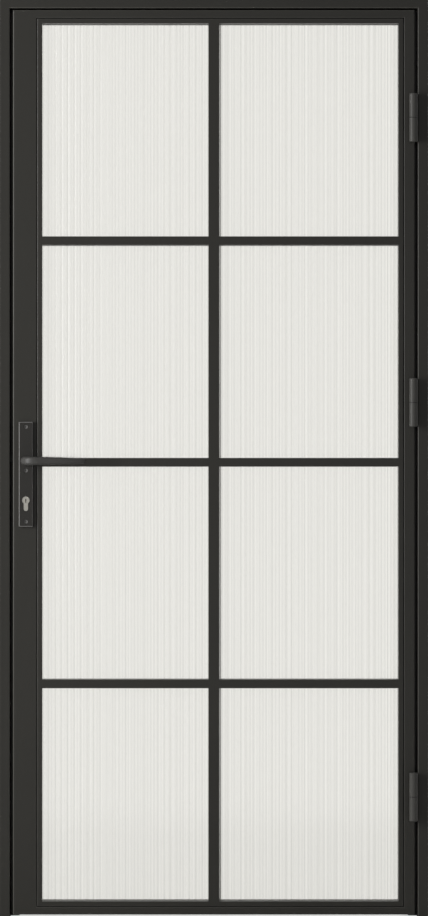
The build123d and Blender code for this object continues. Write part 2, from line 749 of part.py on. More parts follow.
def setting_blocks():
    """Two blocks under the sheet at its quarter points."""
    width = DAYLIGHT_RIGHT_X - DAYLIGHT_LEFT_X
    blocks = []
    for share in SETTING_BLOCK_SHARES:
        x = DAYLIGHT_LEFT_X + share * width
        blocks.append(
            block(
                x - SETTING_BLOCK_LENGTH / 2,
                x + SETTING_BLOCK_LENGTH / 2,
                SETTING_BLOCK_Y - SETTING_BLOCK_DEPTH / 2,
                SETTING_BLOCK_Y + SETTING_BLOCK_DEPTH / 2,
                DAYLIGHT_BOTTOM_Z,
                DAYLIGHT_BOTTOM_Z + EDGE_CLEARANCE,
            )
        )
    return blocks


# Hinges

def knuckle_span(break_z, upper):
    """Lowest and highest point of a knuckle."""
    half_gap = WASHER_THICKNESS / 2
    if upper:
        low = break_z + half_gap + AXIAL_CLEARANCE
        return low, break_z + BARREL_HEIGHT / 2 - HINGE_CAP_HEIGHT
    return break_z - BARREL_HEIGHT / 2 + HINGE_CAP_HEIGHT, break_z - half_gap


def wing_screw_places(upper):
    """Y and Z of every wing screw on the leaf or on the jamb."""
    places = []
    for break_z in HINGE_BREAKS:
        low, high = knuckle_span(break_z, upper)
        places += [(y, low + share * (high - low)) for share, y in WING_SCREW_PLACES]
    return places


def wing_screws(upper):
    """Countersunk screws, heads flush with the wing's face in the gap."""
    screw = countersunk(WING_SCREW_RADIUS, WING_SCREW_HEAD_RADIUS, WING_SCREW_LENGTH)
    head_x = LEAF_SIDE_X + WING_THICKNESS if upper else JAMB_X - WING_THICKNESS
    turn = Rot(0, 90, 0) if upper else Rot(0, -90, 0)
    return [Pos(head_x, y, z) * turn * screw for y, z in wing_screw_places(upper)]


def knuckle(break_z, upper):
    """Bored barrel half with the wing that runs back through the gap."""
    low, high = knuckle_span(break_z, upper)
    barrel = rod_z(low, high, HINGE_AXIS_X, HINGE_AXIS_Y, BARREL_RADIUS)
    x0 = LEAF_SIDE_X if upper else JAMB_X - WING_THICKNESS
    wing = block(x0, x0 + WING_THICKNESS, HINGE_AXIS_Y, WING_END_Y, low, high)
    wing_corners = [
        edge
        for edge in wing.edges().filter_by(Axis.X)
        if edge.center().Y > WING_END_Y - NEAR
    ]
    wing = fillet(wing_corners, WING_THICKNESS)
    piece = barrel + wing
    piece -= rod_z(low - OVERLAP, high + OVERLAP, HINGE_AXIS_X, HINGE_AXIS_Y, PIN_RADIUS + PIN_CLEARANCE)
    for screw in wing_screws(upper):
        if touches(piece, screw):
            piece -= screw
    return piece


def hinge_pin(break_z):
    """Pin with its turned head under the lower knuckle."""
    bottom = break_z - BARREL_HEIGHT / 2
    top = break_z + BARREL_HEIGHT / 2 - HINGE_CAP_HEIGHT - PIN_TOP_GAP
    head = rod_z(bottom, bottom + HINGE_CAP_HEIGHT, HINGE_AXIS_X, HINGE_AXIS_Y, BARREL_RADIUS)
    head = chamfer(head.faces().sort_by(Axis.Z)[0].edges(), HINGE_CAP_EDGE)
    return head + rod_z(bottom + OVERLAP, top, HINGE_AXIS_X, HINGE_AXIS_Y, PIN_RADIUS)


def hinge_cap(break_z):
    """Cap that closes the upper knuckle's bore."""
    top = break_z + BARREL_HEIGHT / 2
    cap = rod_z(top - HINGE_CAP_HEIGHT, top, HINGE_AXIS_X, HINGE_AXIS_Y, BARREL_RADIUS)
    cap = chamfer(cap.faces().sort_by(Axis.Z)[-1].edges(), HINGE_CAP_EDGE)
    plug_low = top - HINGE_CAP_HEIGHT - CAP_PLUG_LENGTH
    return cap + rod_z(plug_low, top - OVERLAP, HINGE_AXIS_X, HINGE_AXIS_Y, PIN_RADIUS)


def hinge_washer(break_z):
    """Bearing washer between the knuckles."""
    low = break_z - WASHER_THICKNESS / 2
    high = break_z + WASHER_THICKNESS / 2
    washer = rod_z(low, high, HINGE_AXIS_X, HINGE_AXIS_Y, WASHER_RADIUS)
    bore = PIN_RADIUS + WASHER_BORE_CLEARANCE
    return washer - rod_z(low - OVERLAP, high + OVERLAP, HINGE_AXIS_X, HINGE_AXIS_Y, bore)


# Lock

def let_in_plate(face_x, wall, direction):
    """Plate the size of its let-in place, drilled for two countersunk screws."""
    x0, x1 = sorted((face_x, face_x + direction * wall))
    plate = block(x0, x1, -FOREND_WIDTH / 2, FOREND_WIDTH / 2, FOREND_BOTTOM_Z, FOREND_TOP_Z)
    for screw in plate_screws(face_x, direction):
        plate -= screw
    return plate


def plate_screws(face_x, direction):
    """Two countersunk screws whose heads are flush with a let-in plate."""
    screw = countersunk(PLATE_SCREW_RADIUS, PLATE_SCREW_HEAD_RADIUS, PLATE_SCREW_LENGTH)
    turn = Rot(0, -90, 0) if direction > 0 else Rot(0, 90, 0)
    return [Pos(face_x, 0, z) * turn * screw for z in plate_screw_heights()]


def bolt_openings(face_x, wall, direction, room):
    """Holes for the latch and the dead bolt in the forend or the strike plate."""
    x0, x1 = sorted((face_x - direction, face_x + direction * (wall + OVERLAP)))
    latch = block(
        x0,
        x1,
        -LATCH_THICKNESS / 2 - room,
        LATCH_THICKNESS / 2 + room,
        LATCH_Z - LATCH_HEIGHT / 2 - room,
        LATCH_Z + LATCH_HEIGHT / 2 + room,
    )
    bolt = block(
        x0,
        x1,
        -BOLT_THICKNESS / 2 - room,
        BOLT_THICKNESS / 2 + room,
        BOLT_Z - BOLT_HEIGHT / 2 - room,
        BOLT_Z + BOLT_HEIGHT / 2 + room,
    )
    return latch + bolt


def lock_forend():
    """Face plate of the lock, flush in the leaf's edge."""
    plate = let_in_plate(-LEAF_SIDE_X, TUBE_WALL, 1)
    plate -= bolt_openings(-LEAF_SIDE_X, TUBE_WALL, 1, SLIDE_CLEARANCE)
    return plate - cylinder_screw()


def strike_plate():
    """Plate in the jamb with room for the latch and the dead bolt."""
    plate = let_in_plate(-JAMB_X, FRAME_WALL, -1)
    return plate - bolt_openings(-JAMB_X, FRAME_WALL, -1, STRIKE_CLEARANCE)


def lock_case():
    """Folded case behind the forend, open towards it."""
    front_x = -LEAF_SIDE_X + TUBE_WALL
    back_x = front_x + CASE_LENGTH
    half = CASE_THICKNESS / 2
    case = block(front_x, back_x, -half, half, CASE_BOTTOM_Z, CASE_TOP_Z)
    case -= block(
        front_x,
        back_x - CASE_WALL,
        -half + CASE_WALL,
        half - CASE_WALL,
        CASE_BOTTOM_Z + CASE_WALL,
        CASE_TOP_Z - CASE_WALL,
    )
    hub_hole = FOLLOWER_RADIUS + FOLLOWER_CLEARANCE
    case -= rod_y(-half - OVERLAP, half + OVERLAP, LOCK_X, SPINDLE_Z, hub_hole)
    case -= slab(cylinder_profile(CYLINDER_HOLE_CLEARANCE), -half - OVERLAP, half + OVERLAP)
    case -= rod_y(-half - OVERLAP, half + OVERLAP, LOCK_X, PLATE_BOLT_HEIGHTS[1], PLATE_BOLT_HOLE_RADIUS)
    return case


def latch_bolt():
    """Bevelled latch with the strap and hook that the follower draws."""
    half = LATCH_THICKNESS / 2
    nose_x = LATCH_NOSE_X
    outline = Polyline(
        (nose_x, -half),
        (nose_x, -half + LATCH_BEVEL_FLAT),
        (nose_x + LATCH_PROUD, half),
        (nose_x + LATCH_LENGTH, half),
        (nose_x + LATCH_LENGTH, -half),
        (nose_x, -half),
    )
    low = LATCH_Z - LATCH_HEIGHT / 2
    head = Pos(0, 0, low) * extrude(make_face(outline), amount=LATCH_HEIGHT)
    top = LATCH_Z + LATCH_HEIGHT / 2
    strap_half = LATCH_STRAP_THICKNESS / 2
    hook_end = LATCH_HOOK_X + LATCH_HOOK_THICKNESS
    strap = block(
        nose_x + LATCH_LENGTH - OVERLAP,
        hook_end,
        -strap_half,
        strap_half,
        top - LATCH_STRAP_HEIGHT,
        top,
    )
    hook = block(LATCH_HOOK_X, hook_end, -strap_half, strap_half, top - LATCH_HOOK_DROP, top)
    return head + strap + hook


def dead_bolt():
    """Square bolt with the tail that the cylinder's cam drives."""
    half = BOLT_THICKNESS / 2
    end_x = BOLT_FACE_X + BOLT_LENGTH
    low = BOLT_Z - BOLT_HEIGHT / 2
    head = block(BOLT_FACE_X, end_x, -half, half, low, BOLT_Z + BOLT_HEIGHT / 2)
    head = chamfer(head.faces().sort_by(Axis.X)[0].edges(), BOLT_EDGE)
    tail_x = end_x - BOLT_TAIL_LENGTH
    tail_half = BOLT_TAIL_HALF_THICKNESS
    return head + block(tail_x, end_x, -tail_half, tail_half, BOLT_TAIL_BOTTOM_Z, low + OVERLAP)


def square_hole(half_length, size):
    """Square bar along Y on the spindle's axis."""
    return block(
        LOCK_X - size / 2,
        LOCK_X + size / 2,
        -half_length,
        half_length,
        SPINDLE_Z - size / 2,
        SPINDLE_Z + size / 2,
    )


def follower():
    """Hub on the spindle with the arm that draws the latch."""
    half = CASE_THICKNESS / 2
    hub = rod_y(-half, half, LOCK_X, SPINDLE_Z, FOLLOWER_RADIUS)
    arm_half = FOLLOWER_ARM_THICKNESS / 2
    lean = radians(FOLLOWER_ARM_LEAN_DEG)
    tip_x = LOCK_X + FOLLOWER_ARM_REACH * sin(lean)
    tip_z = SPINDLE_Z + FOLLOWER_ARM_REACH * cos(lean)
    root = Pos(LOCK_X, SPINDLE_Z) * Circle(FOLLOWER_RADIUS - FOLLOWER_ARM_INSET)
    tip = Pos(tip_x, tip_z) * Circle(FOLLOWER_ARM_RADIUS)
    arm = slab(make_hull((root + tip).edges()), -arm_half, arm_half)
    return hub + arm - square_hole(half + OVERLAP, SPINDLE_SIZE + 2 * SQUARE_CLEARANCE)


def cylinder_profile(room):
    """Outline of the profile cylinder, grown by the given clearance."""
    radius = CYLINDER_RADIUS + room
    half = CYLINDER_NECK_WIDTH / 2 + room
    bottom = CYLINDER_HEIGHT - CYLINDER_RADIUS - CYLINDER_NECK_WIDTH / 2
    neck = Pos(0, -bottom / 2) * Rectangle(2 * half, bottom)
    shape = Circle(radius) + neck + Pos(0, -bottom) * Circle(half)
    return Pos(LOCK_X, CYLINDER_Z) * shape


def cylinder_body():
    """Profile cylinder with its plug bore, the cam's slot and the fixing screw's hole."""
    body = slab(cylinder_profile(0), -CYLINDER_HALF_LENGTH, CYLINDER_HALF_LENGTH)
    end = CYLINDER_HALF_LENGTH + OVERLAP
    body -= rod_y(-end, end, LOCK_X, CYLINDER_Z, PLUG_RADIUS + PLUG_CLEARANCE)
    body -= block(
        LOCK_X - CAM_REACH,
        LOCK_X + CAM_REACH,
        -CAM_SLOT_HALF_WIDTH,
        CAM_SLOT_HALF_WIDTH,
        CYLINDER_Z - CAM_SLOT_DROP,
        CYLINDER_Z + CAM_REACH,
    )
    hole_radius = CYLINDER_SCREW_RADIUS + TAPPED_CLEARANCE
    half = CYLINDER_SCREW_HOLE_HALF
    return body - rod_x(LOCK_X - half, LOCK_X + half, 0, CYLINDER_SCREW_Z, hole_radius)


def cylinder_screw():
    """Long screw through the forend into the cylinder."""
    screw = countersunk(CYLINDER_SCREW_RADIUS, CYLINDER_SCREW_HEAD_RADIUS, CYLINDER_SCREW_LENGTH)
    return Pos(-LEAF_SIDE_X, 0, CYLINDER_SCREW_Z) * Rot(0, -90, 0) * screw


def cylinder_plug(inner_end):
    """Front plug with its keyway; inner_end is how near the middle it reaches."""
    face_y = -CYLINDER_HALF_LENGTH + PLUG_FACE_RECESS
    plug = rod_y(face_y, -inner_end, LOCK_X, CYLINDER_Z, PLUG_RADIUS)
    keyway = block(
        LOCK_X - KEYWAY_WIDTH / 2,
        LOCK_X + KEYWAY_WIDTH / 2,
        face_y - OVERLAP,
        face_y + KEYWAY_DEPTH,
        CYLINDER_Z - KEYWAY_HEIGHT / 2 - KEYWAY_DROP,
        CYLINDER_Z + KEYWAY_HEIGHT / 2 - KEYWAY_DROP,
    )
    return plug - keyway


def cylinder_cam():
    """Driving cam, its finger hanging down at rest."""
    ring = Circle(CAM_RING_RADIUS)
    finger_length = CAM_REACH - CAM_WIDTH / 2
    finger = Pos(0, -finger_length / 2) * Rectangle(CAM_WIDTH, finger_length)
    shape = ring + finger + Pos(0, -finger_length) * Circle(CAM_WIDTH / 2)
    return slab(Pos(LOCK_X, CYLINDER_Z) * shape, -CAM_HALF_THICKNESS, CAM_HALF_THICKNESS)


# Furniture

def plate_bolt_profile(radius, head_radius, sink, length):
    """Countersunk bolt with its sunk head's face at the origin and its shank along -Z."""
    outline = Polyline(
        (0, -sink),
        (head_radius, -sink),
        (radius, -sink - PLATE_BOLT_HEAD_HEIGHT),
        (radius, -length),
        (0, -length),
        (0, -sink),
    )
    return revolve(Plane.XZ * make_face(outline), axis=Axis.Z)


def plate_bolts():
    """Bolts from the front plate into the sleeves of the rear one."""
    reach = 2 * (PLATE_THICKNESS + BACK_Y) - BOLT_END_GAP
    bolt = plate_bolt_profile(PLATE_BOLT_RADIUS, PLATE_BOLT_HEAD_RADIUS, PLATE_BOLT_SINK, reach)
    turn = Rot(90, 0, 0)
    return [Pos(LOCK_X, PLATE_FACE_Y, z) * turn * bolt for z in PLATE_BOLT_HEIGHTS]


def plate_sleeves():
    """Sleeve nuts in the rear plate."""
    sleeve = plate_bolt_profile(SLEEVE_RADIUS, PLATE_BOLT_HEAD_RADIUS, PLATE_BOLT_SINK, SLEEVE_LENGTH)
    bore = Cylinder(PLATE_BOLT_RADIUS + TAPPED_CLEARANCE, 2 * (SLEEVE_LENGTH - SLEEVE_CAP))
    sleeve -= Pos(0, 0, -SLEEVE_LENGTH) * bore
    turn = Rot(-90, 0, 0)
    return [Pos(LOCK_X, -PLATE_FACE_Y, z) * turn * sleeve for z in PLATE_BOLT_HEIGHTS]


def plate_sinks():
    """Countersinks and through holes for the bolts, cut from the front plate."""
    head_radius = PLATE_BOLT_HEAD_RADIUS + SINK_CLEARANCE
    hole_radius = SLEEVE_RADIUS + SINK_CLEARANCE
    sink = Cylinder(head_radius, 2 * PLATE_BOLT_SINK)
    sink += Pos(0, 0, -PLATE_BOLT_SINK - PLATE_BOLT_HEAD_HEIGHT / 2) * Cone(
        hole_radius, head_radius, PLATE_BOLT_HEAD_HEIGHT
    )
    sink += Pos(0, 0, -PLATE_THICKNESS / 2) * Cylinder(hole_radius, PLATE_THICKNESS + 2 * OVERLAP)
    turn = Rot(90, 0, 0)
    return [Pos(LOCK_X, PLATE_FACE_Y, z) * turn * sink for z in PLATE_BOLT_HEIGHTS]


def front_backplate():
    """Long plate with rounded face edges, hollow behind, with bosses round its holes."""
    half = PLATE_WIDTH / 2
    top_z = PLATE_BOTTOM_Z + PLATE_HEIGHT
    plate = block(LOCK_X - half, LOCK_X + half, PLATE_FACE_Y, FRONT_Y, PLATE_BOTTOM_Z, top_z)
    plate = fillet(plate.faces().sort_by(Axis.Y)[0].edges(), PLATE_EDGE_RADIUS)
    inner = half - PLATE_RIM
    recess = area(LOCK_X - inner, LOCK_X + inner, PLATE_BOTTOM_Z + PLATE_RIM, top_z - PLATE_RIM)
    recess -= Pos(LOCK_X, SPINDLE_Z) * Circle(JOURNAL_RADIUS + PLATE_RIM)
    recess -= cylinder_profile(PLATE_RIM)
    for z in PLATE_BOLT_HEIGHTS:
        recess -= Pos(LOCK_X, z) * Circle(PLATE_BOSS_RADIUS)
    plate -= slab(recess, PLATE_FACE_Y + PLATE_FACE_THICKNESS, FRONT_Y)
    bore = JOURNAL_RADIUS + JOURNAL_CLEARANCE
    plate -= rod_y(PLATE_FACE_Y - OVERLAP, FRONT_Y + OVERLAP, LOCK_X, SPINDLE_Z, bore)
    plate -= slab(cylinder_profile(CYLINDER_HOLE_CLEARANCE), PLATE_FACE_Y - OVERLAP, FRONT_Y + OVERLAP)
    for sink in plate_sinks():
        plate -= sink
    return plate


def lever_section(along, out, turn_deg, thickness, height):
    """Rounded section across the lever's line at a place seen from above."""
    turn = radians(turn_deg)
    plane = Plane(
        origin=(along, out, 0),
        x_dir=(cos(turn), -sin(turn), 0),
        z_dir=(sin(turn), cos(turn), 0),
    )
    limit = LEVER_ROUNDING_LIMIT * min(thickness, height)
    radius = min(LEVER_EDGE_RADIUS + height - LEVER_TIP_HEIGHT, limit)
    return plane * RectangleRounded(thickness, height, radius)


def lever_arm():
    """Bow of the lever, from its round neck to the tip that turns back to the door."""
    return loft([lever_section(*station) for station in LEVER_STATIONS])


def front_lever():
    """Lever on its round neck; the journal below it turns in the backplate."""
    neck_end = LEVER_STATIONS[0][1]
    lever = lever_arm() + rod_y(NECK_GAP, neck_end + NECK_OVERLAP, 0, 0, NECK_RADIUS)
    lever += rod_y(-JOURNAL_LENGTH, NECK_GAP + OVERLAP, 0, 0, JOURNAL_RADIUS)
    size = SPINDLE_SIZE + 2 * SQUARE_CLEARANCE
    hole_depth = SPINDLE_HALF_LENGTH + PLATE_FACE_Y + OVERLAP
    lever -= block(-size / 2, size / 2, -JOURNAL_LENGTH - OVERLAP, hole_depth, -size / 2, size / 2)
    lever -= rod_z(-NECK_RADIUS - OVERLAP, 0, 0, GRUB_HEIGHT, GRUB_RADIUS + TAPPED_CLEARANCE)
    return Pos(LOCK_X, PLATE_FACE_Y, SPINDLE_Z) * mirrored_y(lever)


def grub_screw():
    """Grub screw in the neck of the front lever, from below."""
    top = SPINDLE_Z - SPINDLE_SIZE / 2 - SQUARE_CLEARANCE
    return rod_z(top - GRUB_LENGTH, top, LOCK_X, PLATE_FACE_Y - GRUB_HEIGHT, GRUB_RADIUS)


def build_frame():
    """Write the frame's nodes."""
    save("hinge_jamb", hinge_jamb())
    save("lock_jamb", lock_jamb())
    save("frame_head", header(jamb_section()))
    stop = upright(stop_section(), stop_outline())
    save("lock_stop", stop)
    save("hinge_stop", mirrored_x(stop))
    save("head_stop", header(stop_section()))
    lock_seal, hinge_seal, head_seal = seals()
    save("seal_lock_side", lock_seal)
    save("seal_hinge_side", hinge_seal)
    save("seal_head", head_seal)
    save("strike_plate", strike_plate())
    save("strike_screws", *plate_screws(-JAMB_X, -1))
    save("frame_wing_screws", *wing_screws(upper=False))
    save("hinge_pins", *[hinge_pin(z) for z in HINGE_BREAKS])
    save("hinge_washers", *[hinge_washer(z) for z in HINGE_BREAKS])
    save("frame_knuckles", *[knuckle(z, upper=False) for z in HINGE_BREAKS])


def build_leaf():
    """Write the nodes of the leaf, its glazing and its hinge halves."""
    blank = leaf_blank()
    save("lock_stile", lock_stile(blank))
    save("hinge_stile", hinge_stile(blank))
    save("top_rail", rail(blank, DAYLIGHT_TOP_Z, LEAF_TOP_Z, DAYLIGHT_TOP_Z))
    save("bottom_rail", rail(blank, LEAF_BOTTOM_Z, DAYLIGHT_BOTTOM_Z, DAYLIGHT_BOTTOM_Z))
    front = front_grid()
    for name, pieces in front.items():
        save(f"front_{name}", *pieces)
    for name, pieces in rear_grid(front).items():
        save(f"rear_{name}", *pieces)
    save("bead_screws", *bead_screws())
    save("glass_pane", glass_pane())
    tape = glazing_tape()
    save("front_glazing_tape", tape)
    save("rear_glazing_tape", mirrored_y(tape))
    save("setting_blocks", *setting_blocks())
    save("leaf_hinge_caps", *[hinge_cap(z) for z in HINGE_BREAKS])
    save("leaf_wing_screws", *wing_screws(upper=True))
    save("leaf_knuckles", *[knuckle(z, upper=True) for z in HINGE_BREAKS])


def build_lock():
    """Write the nodes of the lock, its cylinder and its furniture."""
    save("lock_case", lock_case())
    save("lock_forend", lock_forend())
    save("forend_screws", *plate_screws(-LEAF_SIDE_X, 1))
    save("latch_bolt", latch_bolt())
    save("dead_bolt", dead_bolt())
    save("follower", follower())
    save("spindle", square_hole(SPINDLE_HALF_LENGTH, SPINDLE_SIZE))
    save("cylinder_body", cylinder_body())
    save("cylinder_screw", cylinder_screw())
    save("cylinder_cam", cylinder_cam())
    save("cylinder_plug_front", cylinder_plug(CAM_HALF_THICKNESS))
    save("cylinder_plug_rear", mirrored_y(cylinder_plug(CAM_SLOT_HALF_WIDTH)))
    plate = front_backplate()
    save("front_backplate", plate)
    save("rear_backplate", mirrored_y(plate))
    save("backplate_bolts", *plate_bolts())
    save("backplate_sleeves", *plate_sleeves())
    lever = front_lever()
    save("lever_front", lever)
    save("lever_rear", mirrored_y(lever))
    screw = grub_screw()
    save("lever_grub_screws", screw, mirrored_y(screw))


os.makedirs("parts", exist_ok=True)
build_frame()
build_leaf()
build_lock()
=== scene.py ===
import logging
from dataclasses import dataclass
from enum import Enum
from math import pi, radians

import bpy
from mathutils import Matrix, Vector


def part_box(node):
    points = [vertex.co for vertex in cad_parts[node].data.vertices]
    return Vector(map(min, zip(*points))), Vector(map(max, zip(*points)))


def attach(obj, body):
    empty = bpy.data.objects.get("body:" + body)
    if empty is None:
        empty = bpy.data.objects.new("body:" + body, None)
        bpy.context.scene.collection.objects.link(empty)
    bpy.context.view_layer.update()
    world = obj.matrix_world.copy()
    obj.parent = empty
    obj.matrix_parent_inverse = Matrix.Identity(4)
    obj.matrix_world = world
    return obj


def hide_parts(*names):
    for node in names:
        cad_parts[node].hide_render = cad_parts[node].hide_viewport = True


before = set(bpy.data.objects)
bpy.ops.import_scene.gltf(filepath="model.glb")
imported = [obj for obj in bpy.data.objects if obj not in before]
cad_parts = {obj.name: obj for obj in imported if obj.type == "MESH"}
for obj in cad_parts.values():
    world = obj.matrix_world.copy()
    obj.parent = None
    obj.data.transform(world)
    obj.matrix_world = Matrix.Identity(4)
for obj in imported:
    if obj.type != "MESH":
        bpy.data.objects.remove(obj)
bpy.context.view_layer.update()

MM = 0.001
# Radians that a wave texture of scale 1 turns through in a metre
WAVE_TURN = 20.0
LOG = logging.getLogger("door")

Colour = tuple[float, float, float, float]
Triple = tuple[float, float, float]


def linear(hex_colour: str) -> Colour:
    """Turn an sRGB hex colour into linear light.

    Args:
        hex_colour: Colour as "#rrggbb".

    Returns:
        Red, green, blue and alpha in linear light.
    """
    channels = [int(hex_colour[place:place + 2], 16) / 255 for place in (1, 3, 5)]
    light = [c / 12.92 if c <= 0.04045 else ((c + 0.055) / 1.055) ** 2.4 for c in channels]
    return (light[0], light[1], light[2], 1.0)


def corners(node: str) -> tuple[Vector, Vector]:
    """Lowest and highest corner of a CAD node."""
    low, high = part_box(node)
    return Vector(low), Vector(high)


def add_node(tree: bpy.types.NodeTree, kind: str, links: dict[str | int, object] | None = None,
             **settings: object) -> bpy.types.Node:
    """Add a node with its settings, values and links.

    Args:
        tree: Node tree that takes the node.
        kind: Blender's name of the node type.
        links: Input name or number to a value, to the socket that feeds it, or to the node
            whose first output feeds it.
        settings: Attributes of the node.

    Returns:
        The new node.
    """
    node = tree.nodes.new(kind)
    for name, value in settings.items():
        setattr(node, name, value)
    for name, value in (links or {}).items():
        if isinstance(value, bpy.types.Node):
            value = value.outputs[0]
        if isinstance(value, bpy.types.NodeSocket):
            tree.links.new(value, node.inputs[name])
        else:
            node.inputs[name].default_value = value
    return node


def roughen(tree: bpy.types.NodeTree, noise: bpy.types.Node, roughness: float, spread: float,
            strength: float, height_mm: float) -> None:
    """Vary a surface's roughness with a noise and raise the same noise as relief.

    Args:
        tree: Node tree of the material.
        noise: Node whose first output runs from 0 to 1.
        roughness: Middle of the roughness.
        spread: How far the roughness goes to each side of it.
        strength: Strength of the relief.
        height_mm: Height of the relief in millimetres.
    """
    shader = tree.nodes["Principled BSDF"]
    gloss = add_node(tree, "ShaderNodeMapRange",
                     {"Value": noise, "To Min": roughness - spread, "To Max": roughness + spread})
    tree.links.new(gloss.outputs["Result"], shader.inputs["Roughness"])
    bump = add_node(tree, "ShaderNodeBump",
                    {"Height": noise, "Strength": strength, "Distance": height_mm * MM})
    tree.links.new(bump.outputs["Normal"], shader.inputs["Normal"])


class Axis(Enum):
    """Directions in which a screw's head can face."""

    LEFT = (-1.0, 0.0, 0.0)
    RIGHT = (1.0, 0.0, 0.0)
    FRONT = (0.0, -1.0, 0.0)
    BACK = (0.0, 1.0, 0.0)
    DOWN = (0.0, 0.0, -1.0)
    UP = (0.0, 0.0, 1.0)


Places = list[tuple[Triple, Axis]]


# Finishes

@dataclass(frozen=True)
class Finish:
    """A surface that is the same all over but for fine grain, tone and roughness.

    The grain is real relief, worked out from its size in millimetres; the tone is the slow
    change of colour that handling and coating leave. On a finish with a paler edge colour, every
    rounded edge is painted paler with it, partly as wear and partly as a painted highlight that
    stands in for the lamps' shine along the edges. The start and full thresholds are the cosines
    of the turn away from the nearest main direction at which the paler edge starts and is whole,
    and fray is the range of the grain over which it breaks up, down to fray_least.
    """

    name: str
    colour: str
    dark: str
    roughness: float
    metallic: float = 0.0
    specular: float = 0.5
    roughness_spread: float = 0.05
    grain_mm: float = 1.0
    grain_depth: float = 0.05
    grain_height_mm: float = 0.1
    tone_mm: float = 220.0
    stretch: Triple = (1.0, 1.0, 1.0)
    edge_wear_and_highlight: str = ""
    wear_highlight_start: float = 0.99
    wear_highlight_full: float = 0.88
    fray: tuple[float, float] = (0.3, 0.6)
    fray_least: float = 0.6

    def paint_wear_and_highlight_edges(self, tree: bpy.types.NodeTree, coat: bpy.types.NodeSocket,
                  grain: bpy.types.Node) -> bpy.types.NodeSocket:
        """Paint the rounded edges paler, as wear and as a painted highlight.

        Args:
            tree: Node tree of the material.
            coat: Colour of the flat surface.
            grain: Noise that frays the paler edges.

        Returns:
            Colour with its paler edges, partly wear and partly painted highlight.
        """
        normal = add_node(tree, "ShaderNodeTexCoord").outputs["Normal"]
        sides = add_node(tree, "ShaderNodeVectorMath", {0: normal}, operation="ABSOLUTE")
        parts = add_node(tree, "ShaderNodeSeparateXYZ", {0: sides}).outputs
        wide = add_node(tree, "ShaderNodeMath", {0: parts["X"], 1: parts["Y"]},
                        operation="MAXIMUM")
        flat = add_node(tree, "ShaderNodeMath", {0: wide, 1: parts["Z"]}, operation="MAXIMUM")
        edge = add_node(tree, "ShaderNodeMapRange",
                        {"Value": flat, "From Min": self.wear_highlight_start, "From Max": self.wear_highlight_full})
        frayed = add_node(tree, "ShaderNodeMapRange",
                          {"Value": grain, "From Min": self.fray[0], "From Max": self.fray[1],
                           "To Min": self.fray_least})
        share = add_node(tree, "ShaderNodeMath", {0: edge, 1: frayed}, operation="MULTIPLY")
        mix = add_node(tree, "ShaderNodeMix", {0: share, 6: coat, 7: linear(self.edge_wear_and_highlight)},
                       data_type="RGBA")
        return mix.outputs[2]

    def build(self) -> bpy.types.Material:
        """Make the material.

        Returns:
            The finished material.
        """
        material = bpy.data.materials.new(self.name)
        material.use_nodes = True
        tree = material.node_tree
        shader = tree.nodes["Principled BSDF"]
        shader.inputs["Metallic"].default_value = self.metallic
        shader.inputs["Specular IOR Level"].default_value = self.specular
        place = add_node(tree, "ShaderNodeTexCoord").outputs["Object"]
        drawn_out = add_node(tree, "ShaderNodeMapping", {"Vector": place, "Scale": self.stretch})
        tone = add_node(tree, "ShaderNodeTexNoise",
                        {"Vector": place, "Scale": 1 / (self.tone_mm * MM), "Detail": 3.0})
        grain = add_node(tree, "ShaderNodeTexNoise",
                         {"Vector": drawn_out, "Scale": 1 / (self.grain_mm * MM), "Detail": 2.0})
        mix = add_node(tree, "ShaderNodeMix",
                       {0: tone, 6: linear(self.dark), 7: linear(self.colour)}, data_type="RGBA")
        colour = mix.outputs[2]
        # Paler rounded edges: partly wear, partly a painted highlight
        if self.edge_wear_and_highlight:
            colour = self.paint_wear_and_highlight_edges(tree, colour, grain)
        tree.links.new(colour, shader.inputs["Base Color"])
        roughen(tree, grain, self.roughness, self.roughness_spread, self.grain_depth,
                self.grain_height_mm)
        return material


@dataclass(frozen=True)
class Reeds:
    """Section of the glass: broad round reeds, each with a finer one at half the pitch on it.

    valley_x is the place of one valley, valley_softness the width of a valley's rounding as a
    share of the ridge, and fine_share the height of the finer reeds beside the broad ones.
    """

    pitch: float = 14.7 * MM
    depth: float = 1.5 * MM
    valley_x: float = 414.6 * MM
    valley_softness: float = 0.12
    fine_share: float = 0.35

    @property
    def crest(self) -> float:
        """Height of a crest, as a share of the reeds' depth."""
        return (1 + self.fine_share) * (1 + self.valley_softness ** 2) ** 0.5


